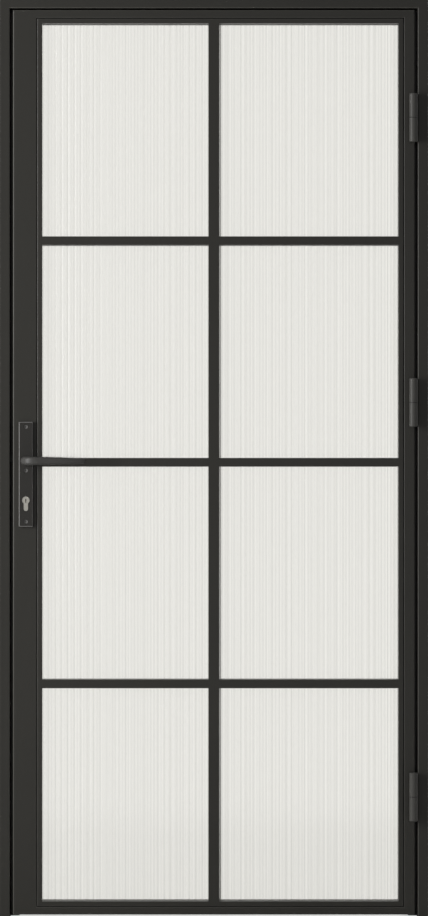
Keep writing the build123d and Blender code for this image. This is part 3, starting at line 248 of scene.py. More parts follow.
@dataclass(frozen=True)
class RolledGlass:
    """Clear float glass rolled with reeds, so that it passes light but blurs what is behind.

    The tint is painted paler on each crest and darker in each valley, in step with the broad and
    the fine reeds: painted light and shade that stand in for the light that the reeds bend. Slow
    ripples are drawn out along the reeds, and the iron in the glass tints it. The rolls' streaks
    are finer than a millimetre and are drawn streak_mm wide, so that they show.
    """

    name: str = "soda_lime_glass_rolled_reeded"
    colour: str = "#f0efea"
    valley_shade_colour: str = "#dad9d3"
    ior: float = 1.52
    roughness: float = 0.15
    roughness_spread: float = 0.03
    transmission: float = 0.97
    reeds: Reeds = Reeds()
    wave_share: float = 0.25
    streak_share: float = 0.5
    streak_mm: float = 5.0
    streak_range: tuple[float, float] = (0.3, 0.7)
    ripple_mm: float = 60.0
    ripple_stretch: Triple = (1.0, 1.0, 0.08)
    ripple_depth: float = 0.05
    ripple_height_mm: float = 1.0

    def painted_reed_light_and_shade(self, tree: bpy.types.NodeTree,
                   place: bpy.types.NodeSocket) -> bpy.types.NodeSocket:
        """Painted light and shade, from dark valley to pale crest, with the rolls' streaks.

        The broad and the fine reeds each give wave_share of the mix, the streaks streak_share.

        Args:
            tree: Node tree of the material.
            place: Object coordinates.

        Returns:
            The colour.
        """
        waves = []
        for pitch in (self.reeds.pitch, self.reeds.pitch / 2):
            scale = 2 * pi / (WAVE_TURN * pitch)
            wave = add_node(tree, "ShaderNodeTexWave",
                            {"Vector": place, "Scale": scale,
                             "Phase Offset": -WAVE_TURN * scale * self.reeds.valley_x},
                            wave_type="BANDS", bands_direction="X", wave_profile="SIN")
            waves.append(wave.outputs["Fac"])
        across = add_node(tree, "ShaderNodeSeparateXYZ", {0: place}).outputs["X"]
        streaks = add_node(tree, "ShaderNodeTexNoise",
                           {"W": across, "Scale": 1 / (self.streak_mm * MM), "Detail": 2.0},
                           noise_dimensions="1D")
        both = add_node(tree, "ShaderNodeMath", {0: waves[0], 1: waves[1]}, operation="ADD")
        reeds = add_node(tree, "ShaderNodeMath", {0: both, 1: self.wave_share},
                         operation="MULTIPLY")
        light = add_node(tree, "ShaderNodeMapRange",
                         {"Value": streaks, "From Min": self.streak_range[0],
                          "From Max": self.streak_range[1], "To Max": self.streak_share})
        share = add_node(tree, "ShaderNodeMath", {0: reeds, 1: light}, operation="ADD")
        # Painted shade in the valleys and painted light on the crests
        mix = add_node(tree, "ShaderNodeMix",
                       {0: share, 6: linear(self.valley_shade_colour), 7: linear(self.colour)},
                       data_type="RGBA")
        return mix.outputs[2]

    def build(self) -> bpy.types.Material:
        """Make the material.

        Returns:
            The finished material.
        """
        material = bpy.data.materials.new(self.name)
        material.use_nodes = True
        tree = material.node_tree
        shader = tree.nodes["Principled BSDF"]
        shader.inputs["IOR"].default_value = self.ior
        shader.inputs["Transmission Weight"].default_value = self.transmission
        place = add_node(tree, "ShaderNodeTexCoord").outputs["Object"]
        tree.links.new(self.painted_reed_light_and_shade(tree, place), shader.inputs["Base Color"])
        drawn_out = add_node(tree, "ShaderNodeMapping",
                             {"Vector": place, "Scale": self.ripple_stretch})
        ripple = add_node(tree, "ShaderNodeTexNoise",
                          {"Vector": drawn_out, "Scale": 1 / (self.ripple_mm * MM),
                           "Detail": 2.0})
        roughen(tree, ripple, self.roughness, self.roughness_spread, self.ripple_depth,
                self.ripple_height_mm)
        return material


# Real grain is mostly a few tenths of a millimetre or less, too fine to show in the render, so
# each grain_mm but the floor's is drawn two to ten times as coarse as its comment gives it

# Polyester powder, sprayed and baked: an even matt film whose fine pimples, 0.5 mm across,
# scatter highlights, with a paler line painted along each edge: partly polish from hands and
# cloths, partly a painted highlight
POWDER_COAT = Finish("polyester_powder_coat_baked_matt", "#2f2e2b", "#2c2b28", 0.3,
                     specular=0.13, grain_mm=1.4, grain_depth=0.12, edge_wear_and_highlight="#4a4945")
# Zinc alloy castings, sanded and painted: smoother than the tubes, with a peel of 0.3 mm, and
# a grey line painted along the edges, partly rubbed paint and partly a painted highlight
PAINTED_ZINC = Finish("zinc_alloy_cast_and_painted_black", "#2c2b29", "#292826", 0.25,
                      specular=0.12, grain_mm=0.9, edge_wear_and_highlight="#7c7b79")
# Levers: the same castings and peel, tumbled smooth first and rubbed by hands all over, so the
# bow shines softly
RUBBED_ZINC = Finish("zinc_alloy_tumbled_and_painted_black", "#32312f", "#2e2d2b", 0.46,
                     specular=0.27, grain_mm=0.9, grain_depth=0.04, tone_mm=60.0)
# Turned and painted hinge barrels: the same paint over machined steel, greyed by handling
PAINTED_STEEL = Finish("steel_turned_and_painted_black", "#474644", "#43423f", 0.38,
                       specular=0.13, grain_mm=0.9)
# Brass with satin nickel plate: brushing 0.05 mm wide along the cylinder blurs its reflections
SATIN_NICKEL = Finish("brass_nickel_plated_satin", "#9b9992", "#8d8a83", 0.4, metallic=1.0,
                      grain_mm=0.5, grain_depth=0.08, tone_mm=12.0, stretch=(1.0, 0.1, 1.0))
# Pressed sheet steel, zinc-plated, with crystals of 0.1 mm: cool grey with a soft cloudy sheen
PLATED_STEEL = Finish("sheet_steel_pressed_zinc_plated", "#a9abac", "#96989a", 0.36,
                      metallic=1.0, grain_mm=0.8, grain_depth=0.06, tone_mm=18.0)
# Lock parts in the door's edge, black zinc over steel with the same crystals: dull, so that
# the gap stays dark
BLACK_ZINC = Finish("sheet_steel_pressed_black_zinc", "#1d1d1c", "#171716", 0.5, specular=0.12,
                    grain_mm=0.6, grain_depth=0.06, tone_mm=15.0)
# Cold-headed screws, zinc-plated, 0.1 mm crystals: brighter than the sheet, polished by the die
PLATED_SCREW = Finish("screw_steel_cold_headed_zinc_plated", "#9c9d9c", "#8b8c8c", 0.3,
                      metallic=1.0, grain_mm=0.4, tone_mm=6.0)
# Black-oxide socket screws, 0.1 mm pits: almost no sheen but on the cut edges
BLACK_SCREW = Finish("screw_steel_blackened", "#232221", "#1d1c1b", 0.34, grain_mm=0.4,
                     tone_mm=6.0)
# Backplate screws: the same steel and pits, its black rubbed to grey, so the lit side of each
# sunk head shows
RUBBED_SCREW = Finish("screw_steel_blackened_and_rubbed", "#737270", "#565553", 0.4,
                      specular=0.4, grain_mm=0.4, tone_mm=4.0)
# Extruded synthetic rubber, drawn out upwards, with a faint bloom of 0.1 mm specks: dull
SEAL_RUBBER = Finish("epdm_extruded_seal", "#0c0c0c", "#090909", 0.85, specular=0.05,
                     grain_mm=0.6, grain_depth=0.1, tone_mm=40.0, stretch=(1.0, 1.0, 0.1))
# Closed-cell foam tape: open pores of 0.3 mm at its cut edge, chalky
FOAM_TAPE = Finish("polyethylene_foam_tape", "#b9b8b4", "#aeada9", 0.85, specular=0.2,
                   grain_mm=0.7, grain_depth=0.3, tone_mm=30.0)
# Moulded polypropylene: a slight satin from the tool, whose spark marks are 0.1 mm across
SETTING_PLASTIC = Finish("polypropylene_moulded", "#2a2a2a", "#242424", 0.55, specular=0.4,
                         grain_mm=0.8, grain_depth=0.06, tone_mm=20.0)
# Painted plaster floor, rolled: a pale matt ground; its roller marks of 4 mm are at real size
FLOOR_PAINT = Finish("plaster_floor_painted_white", "#fafaf8", "#f6f6f4", 0.7, specular=0.2,
                     grain_mm=4.0, tone_mm=900.0)


class FinishSet:
    """Builds each finish once and paints CAD nodes and new pieces with it."""

    def __init__(self) -> None:
        """Start with no material made."""
        self.made: dict[str, bpy.types.Material] = {}

    def material(self, finish: Finish | RolledGlass) -> bpy.types.Material:
        """Give the finish's material, made on first use.

        Args:
            finish: The finish.

        Returns:
            Its one material.
        """
        if finish.name not in self.made:
            self.made[finish.name] = finish.build()
        return self.made[finish.name]

    def paint_nodes(self, finish: Finish | RolledGlass, nodes: tuple[str, ...]) -> None:
        """Give CAD nodes a finish.

        Args:
            finish: The finish.
            nodes: Names of the nodes.
        """
        for name in nodes:
            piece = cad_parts[name]
            piece.data.materials.clear()
            piece.data.materials.append(self.material(finish))
            LOG.info("painted %s with %s", name, finish.name)


class Graph:
    """A geometry node tree with named inputs that is run once, to make one piece."""

    def __init__(self, name: str) -> None:
        """Start an empty tree.

        Args:
            name: Name of the tree.
        """
        self.tree = bpy.data.node_groups.new(name, "GeometryNodeTree")
        for way in ("INPUT", "OUTPUT"):
            self.tree.interface.new_socket("Geometry", in_out=way,
                                           socket_type="NodeSocketGeometry")
        self.values: dict[str, object] = {}
        self.entry = add_node(self.tree, "NodeGroupInput")

    def value(self, name: str, kind: str, value: object) -> bpy.types.NodeSocket:
        """Add a named input.

        Args:
            name: Name of the input.
            kind: Socket type, such as "Float".
            value: Its value on this piece.

        Returns:
            The socket inside the tree.
        """
        socket = self.tree.interface.new_socket(name, in_out="INPUT",
                                                socket_type=f"NodeSocket{kind}")
        self.values[socket.identifier] = value
        return self.entry.outputs[name]

    def make(self, name: str, start: bpy.types.Mesh, shape: bpy.types.Node,
             material: bpy.types.Material) -> bpy.types.Object:
        """Close the tree, run it once and keep the result as a plain mesh.

        Args:
            name: Name of the piece.
            start: Mesh that the tree starts from.
            shape: Node that gives the finished geometry.
            material: Its material.

        Returns:
            The piece, at the origin, with no modifier left.
        """
        paint = self.value("Material", "Material", material)
        real = add_node(self.tree, "GeometryNodeRealizeInstances", {"Geometry": shape})
        painted = add_node(self.tree, "GeometryNodeSetMaterial",
                           {"Geometry": real, "Material": paint})
        add_node(self.tree, "NodeGroupOutput", {"Geometry": painted})
        piece = bpy.data.objects.new(name, start)
        bpy.context.scene.collection.objects.link(piece)
        modifier = piece.modifiers.new(name, "NODES")
        modifier.node_group = self.tree
        for identifier, value in self.values.items():
            modifier[identifier] = value
        bpy.context.view_layer.update()
        graph = bpy.context.evaluated_depsgraph_get()
        mesh = bpy.data.meshes.new_from_object(piece.evaluated_get(graph))
        piece.modifiers.clear()
        piece.data = mesh
        mesh.name = name
        LOG.info("made %s with %d faces", name, len(mesh.polygons))
        return piece


# Sub-assemblies

@dataclass
class ReededPane:
    """The glass: one rolled sheet whose reeds run from top to bottom on the front face.

    An edge of the mesh that bends by more than crease, in radians, stays sharp.
    """

    finishes: FinishSet
    reeds: Reeds = Reeds()
    columns_per_reed: int = 14
    crease: float = 0.9

    def ridge(self, tree: bpy.types.NodeTree, angle: bpy.types.Node,
              softness: bpy.types.NodeSocket) -> bpy.types.Node:
        """Round ridges side by side with a softened valley between them.

        Args:
            tree: Tree that takes the nodes.
            angle: Place along the sheet, pi for each ridge.
            softness: Width of the valley's rounding, as a share of the ridge.

        Returns:
            Node that gives the height of the ridge.
        """
        sine = add_node(tree, "ShaderNodeMath", {0: angle}, operation="SINE")
        wave = add_node(tree, "ShaderNodeMath", {0: sine, 1: sine}, operation="MULTIPLY")
        soft = add_node(tree, "ShaderNodeMath", {0: softness, 1: softness, 2: wave},
                        operation="MULTIPLY_ADD")
        return add_node(tree, "ShaderNodeMath", {0: soft}, operation="SQRT")

    def sunk(self, graph: Graph, across: bpy.types.NodeSocket) -> bpy.types.Node:
        """Work out how far the reeded face lies below its crests.

        Args:
            graph: Tree that takes the inputs and the nodes.
            across: Place along the sheet.

        Returns:
            Node that gives the distance.
        """
        tree = graph.tree
        pitch = graph.value("Reed Pitch", "Float", self.reeds.pitch)
        depth = graph.value("Reed Depth", "Float", self.reeds.depth)
        valley_x = graph.value("Valley Place", "Float", self.reeds.valley_x)
        softness = graph.value("Valley Softness", "Float", self.reeds.valley_softness)
        fine = graph.value("Fine Reed Share", "Float", self.reeds.fine_share)
        crest = graph.value("Crest Height", "Float", self.reeds.crest)
        along = add_node(tree, "ShaderNodeMath", {0: across, 1: valley_x}, operation="SUBTRACT")
        count = add_node(tree, "ShaderNodeMath", {0: along, 1: pitch}, operation="DIVIDE")
        angle = add_node(tree, "ShaderNodeMath", {0: count, 1: pi}, operation="MULTIPLY")
        twice = add_node(tree, "ShaderNodeMath", {0: angle, 1: 2.0}, operation="MULTIPLY")
        broad_reed = self.ridge(tree, angle, softness)
        fine_reed = self.ridge(tree, twice, softness)
        raised = add_node(tree, "ShaderNodeMath", {0: fine_reed, 1: fine, 2: broad_reed},
                          operation="MULTIPLY_ADD")
        below = add_node(tree, "ShaderNodeMath", {0: crest, 1: raised}, operation="SUBTRACT")
        return add_node(tree, "ShaderNodeMath", {0: below, 1: depth}, operation="MULTIPLY")

    def build(self) -> None:
        """Make the sheet in the place of its CAD node."""
        low, high = corners("glass_pane")
        size = high - low
        columns = round(size.x / self.reeds.pitch * self.columns_per_reed)
        graph = Graph("reeded_pane")
        tree = graph.tree
        extent = graph.value("Size", "Vector", tuple(size))
        middle = graph.value("Centre", "Vector", tuple((low + high) / 2))
        column_count = graph.value("Columns", "Int", columns)
        crease = graph.value("Crease Angle", "Float", self.crease)
        slab = add_node(tree, "GeometryNodeMeshCube", {"Size": extent, "Vertices X": column_count})
        placed = add_node(tree, "GeometryNodeTransform", {"Geometry": slab, "Translation": middle})
        position = add_node(tree, "GeometryNodeInputPosition")
        place = add_node(tree, "ShaderNodeSeparateXYZ", {0: position}).outputs
        middle_y = add_node(tree, "ShaderNodeSeparateXYZ", {0: middle}).outputs["Y"]
        front = add_node(tree, "FunctionNodeCompare", {"A": place["Y"], "B": middle_y},
                         operation="LESS_THAN")
        shift = add_node(tree, "ShaderNodeCombineXYZ", {"Y": self.sunk(graph, place["X"])})
        reeds = add_node(tree, "GeometryNodeSetPosition",
                         {"Geometry": placed, "Selection": front, "Offset": shift})
        smooth = add_node(tree, "GeometryNodeSetShadeSmooth", {"Geometry": reeds})
        bend = add_node(tree, "GeometryNodeInputMeshEdgeAngle").outputs["Unsigned Angle"]
        edges = add_node(tree, "ShaderNodeMath", {0: bend, 1: crease}, operation="GREATER_THAN")
        sharp = add_node(tree, "GeometryNodeSetShadeSmooth",
                         {"Geometry": smooth, "Selection": edges, "Shade Smooth": False},
                         domain="EDGE")
        pane = graph.make("reeded_glass_sheet", bpy.data.meshes.new("seed"), sharp,
                          self.finishes.material(RolledGlass()))
        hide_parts("glass_pane")
        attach(pane, "leaf")


@dataclass(frozen=True)
class ScrewSize:
    """Sizes of a countersunk socket screw: a cone of a head over a plain shank.

    A head with no height of its own has sides at 45 degrees. sink is how far it lies below its
    place, and the recess's radius and depth are shares of the head's.
    """

    head_radius: float
    shank_radius: float
    length: float
    own_height: float | None = None
    sink: float = 0.0
    recess_share: float = 0.45
    recess_depth_share: float = 0.8
    recess_sides: int = 6
    head_sides: int = 28
    shank_sides: int = 16

    @property
    def head_height(self) -> float:
        """Height of the head."""
        return self.own_height or self.head_radius - self.shank_radius

    @property
    def head_bottom(self) -> float:
        """Height of the head's lower end, from the screw's place."""
        return -self.head_height - self.sink


@dataclass
class ScrewSet:
    """One kind of countersunk screw at all of its places."""

    name: str
    node: str
    body: str
    slot: str
    finish: Finish
    size: ScrewSize
    places: Places

    def seed(self) -> bpy.types.Mesh:
        """Make a mesh of loose points, each with the direction its head faces.

        Returns:
            The mesh.
        """
        mesh = bpy.data.meshes.new(f"{self.name}_places")
        mesh.from_pydata([place for place, _ in self.places], [], [])
        facing = mesh.attributes.new("facing", "FLOAT_VECTOR", "POINT")
        numbers = [number for _, axis in self.places for number in axis.value]
        facing.data.foreach_set("vector", numbers)
        return mesh

    def build(self, finishes: FinishSet) -> None:
        """Make the screws in the place of their CAD node.

        Args:
            finishes: Materials to paint them with.
        """
        size = self.size
        shank = size.length + size.head_bottom
        graph = Graph(self.name)
        tree = graph.tree
        head_radius = graph.value("Head Radius", "Float", size.head_radius)
        shank_radius = graph.value("Shank Radius", "Float", size.shank_radius)
        head_height = graph.value("Head Height", "Float", size.head_height)
        head_place = graph.value("Head Place", "Vector", (0.0, 0.0, size.head_bottom))
        recess_radius = graph.value("Recess Radius", "Float", size.head_radius * size.recess_share)
        # The cutter stands half out of the head, so it is twice as long as the recess is deep
        cutter_length = graph.value("Cutter Length", "Float",
                                    2 * size.head_height * size.recess_depth_share)
        cutter_place = graph.value("Cutter Place", "Vector", (0.0, 0.0, -size.sink))
        shank_length = graph.value("Shank Length", "Float", shank)
        shank_place = graph.value("Shank Place", "Vector", (0.0, 0.0, size.head_bottom - shank / 2))
        cone = add_node(tree, "GeometryNodeMeshCone",
                        {"Vertices": size.head_sides, "Radius Top": head_radius,
                         "Radius Bottom": shank_radius, "Depth": head_height})
        head = add_node(tree, "GeometryNodeTransform",
                        {"Geometry": cone, "Translation": head_place})
        cutter = add_node(tree, "GeometryNodeMeshCylinder",
                          {"Vertices": size.recess_sides, "Radius": recess_radius,
                           "Depth": cutter_length})
        placed_cutter = add_node(tree, "GeometryNodeTransform",
                                 {"Geometry": cutter, "Translation": cutter_place})
        cut = add_node(tree, "GeometryNodeMeshBoolean",
                       {"Mesh 1": head, "Mesh 2": placed_cutter},
                       operation="DIFFERENCE", solver="EXACT")
        rod = add_node(tree, "GeometryNodeMeshCylinder",
                       {"Vertices": size.shank_sides, "Radius": shank_radius,
                        "Depth": shank_length})
        placed_rod = add_node(tree, "GeometryNodeTransform",
                              {"Geometry": rod, "Translation": shank_place})
        screw = add_node(tree, "GeometryNodeJoinGeometry", {0: cut})
        tree.links.new(placed_rod.outputs["Geometry"], screw.inputs[0])
        facing = add_node(tree, "GeometryNodeInputNamedAttribute", {"Name": "facing"},
                          data_type="FLOAT_VECTOR").outputs["Attribute"]
        turn = add_node(tree, "FunctionNodeAlignRotationToVector", {"Vector": facing}, axis="Z")
        screws = add_node(tree, "GeometryNodeInstanceOnPoints",
                          {"Points": graph.entry, "Instance": screw, "Rotation": turn})
        piece = graph.make(self.name, self.seed(), screws, finishes.material(self.finish))
        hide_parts(self.node)
        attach(piece, self.body)


@dataclass
class GrooveShadeStrip:
    """A black rubber strip in the groove between the glazing grid and the tubes around it: painted
    shade that darkens the groove.
    """

    finishes: FinishSet
    half_width: float = 1.4 * MM
    front_depth: float = 0.65 * MM
    back_depth: float = 2.4 * MM

    def build(self) -> None:
        """Lay the four strips as one ring round the outside of the front beads."""
        low, high = corners("front_bead_lock")[0], corners("front_bead_hinge")[1]
        points = [(x, low.y + depth, z)
                  for reach in (self.half_width, -self.half_width)
                  for depth in (self.front_depth, self.back_depth)
                  for x, z in ((low.x - reach, low.z - reach), (high.x + reach, low.z - reach),
                               (high.x + reach, high.z + reach), (low.x - reach, high.z + reach))]
        outer_front, outer_back, inner_front, inner_back = (
            range(first, first + 4) for first in (0, 4, 8, 12))
        faces = []
        for here in range(4):
            after = (here + 1) % 4
            faces += [
                (outer_front[here], outer_front[after], inner_front[after], inner_front[here]),
                (outer_back[here], inner_back[here], inner_back[after], outer_back[after]),
                (outer_front[here], outer_back[here], outer_back[after], outer_front[after]),
                (inner_front[here], inner_front[after], inner_back[after], inner_back[here])]
        # Painted shade: a black strip that darkens the groove
        mesh = bpy.data.meshes.new("groove_painted_shade_strip")
        mesh.from_pydata(points, [], faces)
        mesh.materials.append(self.finishes.material(SEAL_RUBBER))
        ring = bpy.data.objects.new("groove_painted_shade_strip", mesh)
        bpy.context.scene.collection.objects.link(ring)
        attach(ring, "leaf")
        LOG.info("made groove_painted_shade_strip with %d faces", len(faces))


@dataclass
class Fasteners:
    """All the screws, at the places that the CAD gives them.

    hinge_breaks are the heights at which each hinge's knuckles meet, knuckle_upper and
    knuckle_lower reach from there, and each wing's screws stand at wing_places: a share of the
    knuckle's height and a place along Y. The beads' screws stand spread_x or spread_z to each
    side of the middle of every pane.
    """

    finishes: FinishSet
    plate_bolt: ScrewSize = ScrewSize(head_radius=4.4 * MM, shank_radius=2.25 * MM,
                                      length=50.0 * MM, own_height=2.4 * MM, sink=2.5 * MM)
    plate_sleeve: ScrewSize = ScrewSize(head_radius=4.4 * MM, shank_radius=3.4 * MM,
                                        length=20.0 * MM, own_height=2.4 * MM, sink=2.5 * MM)
    bead_screw: ScrewSize = ScrewSize(head_radius=3.5 * MM, shank_radius=2.0 * MM,
                                      length=16.0 * MM)
    wing_screw: ScrewSize = ScrewSize(head_radius=4.5 * MM, shank_radius=2.5 * MM,
                                      length=12.0 * MM)
    let_in_screw: ScrewSize = ScrewSize(head_radius=3.9 * MM, shank_radius=2.0 * MM,
                                        length=7.0 * MM)
    plate_heights: tuple[float, ...] = (908.0 * MM, 1025.0 * MM, 1125.0 * MM)
    let_in_heights: tuple[float, ...] = (894.5 * MM, 1113.5 * MM)
    hinge_breaks: tuple[float, ...] = (278.0 * MM, 1181.0 * MM, 1833.0 * MM)
    knuckle_upper: tuple[float, float] = (0.85 * MM, 52.5 * MM)
    knuckle_lower: tuple[float, float] = (-52.5 * MM, -0.75 * MM)
    wing: float = 3.0 * MM
    wing_places: tuple[tuple[float, float], ...] = (
        (0.2, -8.0 * MM), (0.5, 6.0 * MM), (0.8, -8.0 * MM))
    rows: int = 4
    bead_y: float = 13.0 * MM
    spread_x: float = 100.0 * MM
    spread_z: float = 150.0 * MM

    def wing_screws(self, x: float, knuckle: tuple[float, float], axis: Axis) -> Places:
        """Find the places of the screws in one side's hinge wings.

        Args:
            x: Face of the wing.
            knuckle: Lowest and highest point of the knuckle, from the break.
            axis: Direction the heads face.

        Returns:
            The places.
        """
        low, high = knuckle
        return [((x, y, middle + low + share * (high - low)), axis)
                for middle in self.hinge_breaks for share, y in self.wing_places]

    def bead_screws(self) -> Places:
        """Find the places of the rear beads' screws, round each pane.

        Returns:
            The places.
        """
        left, right = corners("rear_bead_lock")[1].x, corners("rear_bead_hinge")[0].x
        bottom, top = corners("rear_bead_bottom")[1].z, corners("rear_bead_top")[0].z
        bar_left, bar_right = (corner.x for corner in corners("rear_centre_bar"))
        row_height = corners("rear_cross_bars")[0].z - bottom
        row_step = (top - bottom - row_height) / (self.rows - 1)
        middles_z = [bottom + row * row_step + row_height / 2 for row in range(self.rows)]
        middles_x = [(left + bar_left) / 2, (right + bar_right) / 2]
        heights = [z + side * self.spread_z for z in middles_z for side in (-1, 1)]
        columns = [x + side * self.spread_x for x in middles_x for side in (-1, 1)]
        places = [((left, self.bead_y, z), Axis.RIGHT) for z in heights]
        places += [((right, self.bead_y, z), Axis.LEFT) for z in heights]
        places += [((x, self.bead_y, bottom), Axis.UP) for x in columns]
        places += [((x, self.bead_y, top), Axis.DOWN) for x in columns]
        return places

    def build(self) -> None:
        """Make every set of screws."""
        front_plate, rear_plate = corners("front_backplate"), corners("rear_backplate")
        lock_x = (front_plate[0].x + front_plate[1].x) / 2
        lock_side, hinge_side = corners("lock_stile")[0].x, corners("hinge_stile")[1].x
        lock_jamb, hinge_jamb = corners("lock_jamb")[1].x, corners("hinge_jamb")[0].x
        front = [((lock_x, front_plate[0].y, z), Axis.FRONT) for z in self.plate_heights]
        rear = [((lock_x, rear_plate[1].y, z), Axis.BACK) for z in self.plate_heights]
        upper = self.wing_screws(hinge_side + self.wing, self.knuckle_upper, Axis.RIGHT)
        lower = self.wing_screws(hinge_jamb - self.wing, self.knuckle_lower, Axis.LEFT)
        forend = [((lock_side, 0.0, z), Axis.LEFT) for z in self.let_in_heights]
        strike = [((lock_jamb, 0.0, z), Axis.RIGHT) for z in self.let_in_heights]
        sets = (
            ScrewSet("front_plate_screws", "backplate_bolts", "leaf", "black_hardware",
                     RUBBED_SCREW, self.plate_bolt, front),
            ScrewSet("rear_plate_screws", "backplate_sleeves", "leaf", "black_hardware",
                     RUBBED_SCREW, self.plate_sleeve, rear),
            ScrewSet("rear_bead_screws", "bead_screws", "leaf", "black_hardware",
                     BLACK_SCREW, self.bead_screw, self.bead_screws()),
            ScrewSet("leaf_wing_screw_set", "leaf_wing_screws", "leaf", "zinc_screws",
                     PLATED_SCREW, self.wing_screw, upper),
            ScrewSet("jamb_wing_screw_set", "frame_wing_screws", "frame", "zinc_screws",
                     PLATED_SCREW, self.wing_screw, lower),
            ScrewSet("forend_screw_set", "forend_screws", "leaf", "zinc_screws",
                     PLATED_SCREW, self.let_in_screw, forend),
            ScrewSet("strike_screw_set", "strike_screws", "frame", "zinc_screws",
                     PLATED_SCREW, self.let_in_screw, strike),
        )
        for screws in sets:
            screws.build(self.finishes)


@dataclass
class DoorSet:
    """Frame, leaf, glazing and hardware whose CAD shapes stay, each with its finish."""

    finishes: FinishSet
    tubes: tuple[str, ...] = (
        "hinge_jamb", "lock_jamb", "frame_head", "hinge_stop", "lock_stop", "head_stop",
        "lock_stile", "hinge_stile", "top_rail", "bottom_rail")
    grid: tuple[str, ...] = (
        "bead_lock", "bead_hinge", "bead_top", "bead_bottom", "centre_bar", "cross_bars")
    plates: tuple[str, ...] = ("front_backplate", "rear_backplate")
    levers: tuple[str, ...] = ("lever_front", "lever_rear")
    hinges: tuple[str, ...] = ("leaf_knuckles", "frame_knuckles", "hinge_pins", "leaf_hinge_caps")
    seals: tuple[str, ...] = ("seal_hinge_side", "seal_lock_side", "seal_head")
    tapes: tuple[str, ...] = ("front_glazing_tape", "rear_glazing_tape")
    edge_parts: tuple[str, ...] = (
        "lock_forend", "strike_plate", "latch_bolt", "dead_bolt", "cylinder_screw", "hinge_washers")
    plated: tuple[str, ...] = ("lock_case", "spindle", "follower", "cylinder_cam")
    nickel: tuple[str, ...] = ("cylinder_body", "cylinder_plug_front", "cylinder_plug_rear")
    grub_screws: tuple[str, ...] = ("lever_grub_screws",)
    blocks: tuple[str, ...] = ("setting_blocks",)

    def dress(self) -> None:
        """Give every kept CAD node its finish."""
        paint = self.finishes.paint_nodes
        paint(POWDER_COAT, self.tubes)
        for side in ("front", "rear"):
            paint(POWDER_COAT, tuple(f"{side}_{bar}" for bar in self.grid))
        paint(PAINTED_ZINC, self.plates)
        paint(RUBBED_ZINC, self.levers)
        paint(PAINTED_STEEL, self.hinges)
        paint(SEAL_RUBBER, self.seals)
        paint(FOAM_TAPE, self.tapes)
        paint(BLACK_ZINC, self.edge_parts)
        paint(PLATED_STEEL, self.plated)
        paint(SATIN_NICKEL, self.nickel)
        paint(BLACK_SCREW, self.grub_screws)
        paint(SETTING_PLASTIC, self.blocks)


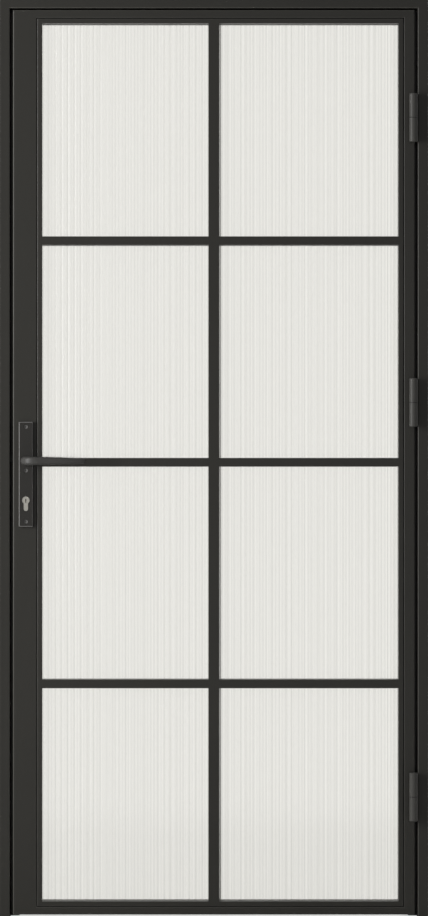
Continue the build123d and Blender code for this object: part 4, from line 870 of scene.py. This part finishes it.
@dataclass
class Studio:
    """Camera, lamps, floor and world.

    In the photograph, middle_px is the column of the door's middle and floor_px the row of the
    floor, at mm_per_pixel on the leaf's face. Both lamps are tall soft boxes at box_distance.
    """

    image: tuple[int, int] = (428, 916)
    mm_per_pixel: float = 2.292
    middle_px: float = 213.8
    floor_px: float = 917.8
    camera_distance: float = 8.0
    sensor_mm: float = 36.0
    clip_end: float = 60.0
    box_distance: float = 3.2
    box_size: tuple[float, float] = (0.5, 2.0)
    box_height: float = 1.65
    front_direction: Triple = (-0.82, -0.51, 0.0)
    front_power: float = 120.0
    rear_direction: Triple = (0.62, 0.78, 0.0)
    rear_power: float = 70.0
    ambient: float = 0.18
    floor_side: float = 2.3
    floor_depth: float = 2.1
    floor_paleness: float = 0.55
    floor_glow: float = 0.95

    def camera(self) -> None:
        """Place the camera so that the leaf's face fills the picture as in the photograph."""
        width, height = self.image
        step = self.mm_per_pixel * MM
        x = (width / 2 - self.middle_px) * step
        z = (self.floor_px - height / 2) * step
        data = bpy.data.cameras.new("camera")
        data.sensor_fit = "VERTICAL"
        data.sensor_height = self.sensor_mm
        data.lens = self.sensor_mm * self.camera_distance / (height * step)
        data.clip_end = self.clip_end
        camera = bpy.data.objects.new("camera", data)
        camera.location = (x, corners("lock_stile")[0].y - self.camera_distance, z)
        camera.rotation_euler = (radians(90), 0, 0)
        bpy.context.scene.collection.objects.link(camera)
        bpy.context.scene.camera = camera

    def soft_box(self, name: str, toward: Triple, power: float) -> None:
        """Stand a tall soft box beside the door.

        Args:
            name: Name of the lamp.
            toward: Direction from the door to the lamp.
            power: Its power in watts.
        """
        data = bpy.data.lights.new(name, "AREA")
        data.shape = "RECTANGLE"
        data.size, data.size_y = self.box_size
        data.energy = power
        lamp = bpy.data.objects.new(name, data)
        direction = Vector(toward).normalized()
        lamp.location = Vector((0.0, 0.0, self.box_height)) + direction * self.box_distance
        lamp.rotation_euler = direction.to_track_quat("Z", "Y").to_euler()
        # A lamp seen through the rough glass would leave bright specks in it
        lamp.visible_transmission = False
        bpy.context.scene.collection.objects.link(lamp)

    def lamps(self) -> None:
        """Light the front from the left, as the lit upright edges show, and the rear softly."""
        self.soft_box("front_soft_box", self.front_direction, self.front_power)
        self.soft_box("rear_soft_box", self.rear_direction, self.rear_power)

    def world(self) -> None:
        """White to the camera, in gloss and through glass; plain soft light elsewhere."""
        world = bpy.data.worlds.new("studio")
        world.use_nodes = True
        bpy.context.scene.world = world
        tree = world.node_tree
        tree.nodes.clear()
        rays = add_node(tree, "ShaderNodeLightPath").outputs
        direct = add_node(tree, "ShaderNodeMath",
                          {0: rays["Is Camera Ray"], 1: rays["Is Glossy Ray"]},
                          operation="MAXIMUM")
        seen = add_node(tree, "ShaderNodeMath", {0: direct, 1: rays["Is Transmission Ray"]},
                        operation="MAXIMUM")
        strength = add_node(tree, "ShaderNodeMapRange",
                            {"Value": seen, "To Min": self.ambient, "To Max": 1.0})
        light = add_node(tree, "ShaderNodeBackground",
                         {"Color": (1.0, 1.0, 1.0, 1.0), "Strength": strength})
        add_node(tree, "ShaderNodeOutputWorld", {"Surface": light})

    def floor(self) -> None:
        """Lay a matt floor that keeps the door's shadow, half pale to the camera."""
        side, depth = self.floor_side, self.floor_depth
        mesh = bpy.data.meshes.new("pale_floor")
        points = [(-side, -depth, 0), (side, -depth, 0), (side, depth, 0), (-side, depth, 0)]
        mesh.from_pydata(points, [], [(0, 1, 2, 3)])
        floor = bpy.data.objects.new("pale_floor", mesh)
        bpy.context.scene.collection.objects.link(floor)
        material = FLOOR_PAINT.build()
        tree = material.node_tree
        rays = add_node(tree, "ShaderNodeLightPath").outputs
        half = add_node(tree, "ShaderNodeMath",
                        {0: rays["Is Camera Ray"], 1: self.floor_paleness}, operation="MULTIPLY")
        share = add_node(tree, "ShaderNodeMath", {0: half, 1: rays["Is Transmission Ray"]},
                         operation="MAXIMUM")
        pale = add_node(tree, "ShaderNodeEmission", {"Strength": self.floor_glow})
        both = add_node(tree, "ShaderNodeMixShader",
                        {0: share, 1: tree.nodes["Principled BSDF"], 2: pale})
        tree.links.new(both.outputs[0], tree.nodes["Material Output"].inputs["Surface"])
        mesh.materials.append(material)

    def build(self) -> None:
        """Set up the studio and the plain view."""
        bpy.context.scene.view_settings.view_transform = "Standard"
        self.camera()
        self.lamps()
        self.world()
        self.floor()


def main() -> None:
    """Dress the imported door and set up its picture."""
    logging.basicConfig(level=logging.INFO, format="%(name)s: %(message)s")
    finishes = FinishSet()
    Studio().build()
    DoorSet(finishes).dress()
    ReededPane(finishes).build()
    # Painted shade in the groove round the glazing grid
    GrooveShadeStrip(finishes).build()
    Fasteners(finishes).build()


if __name__ == "__main__":
    main()
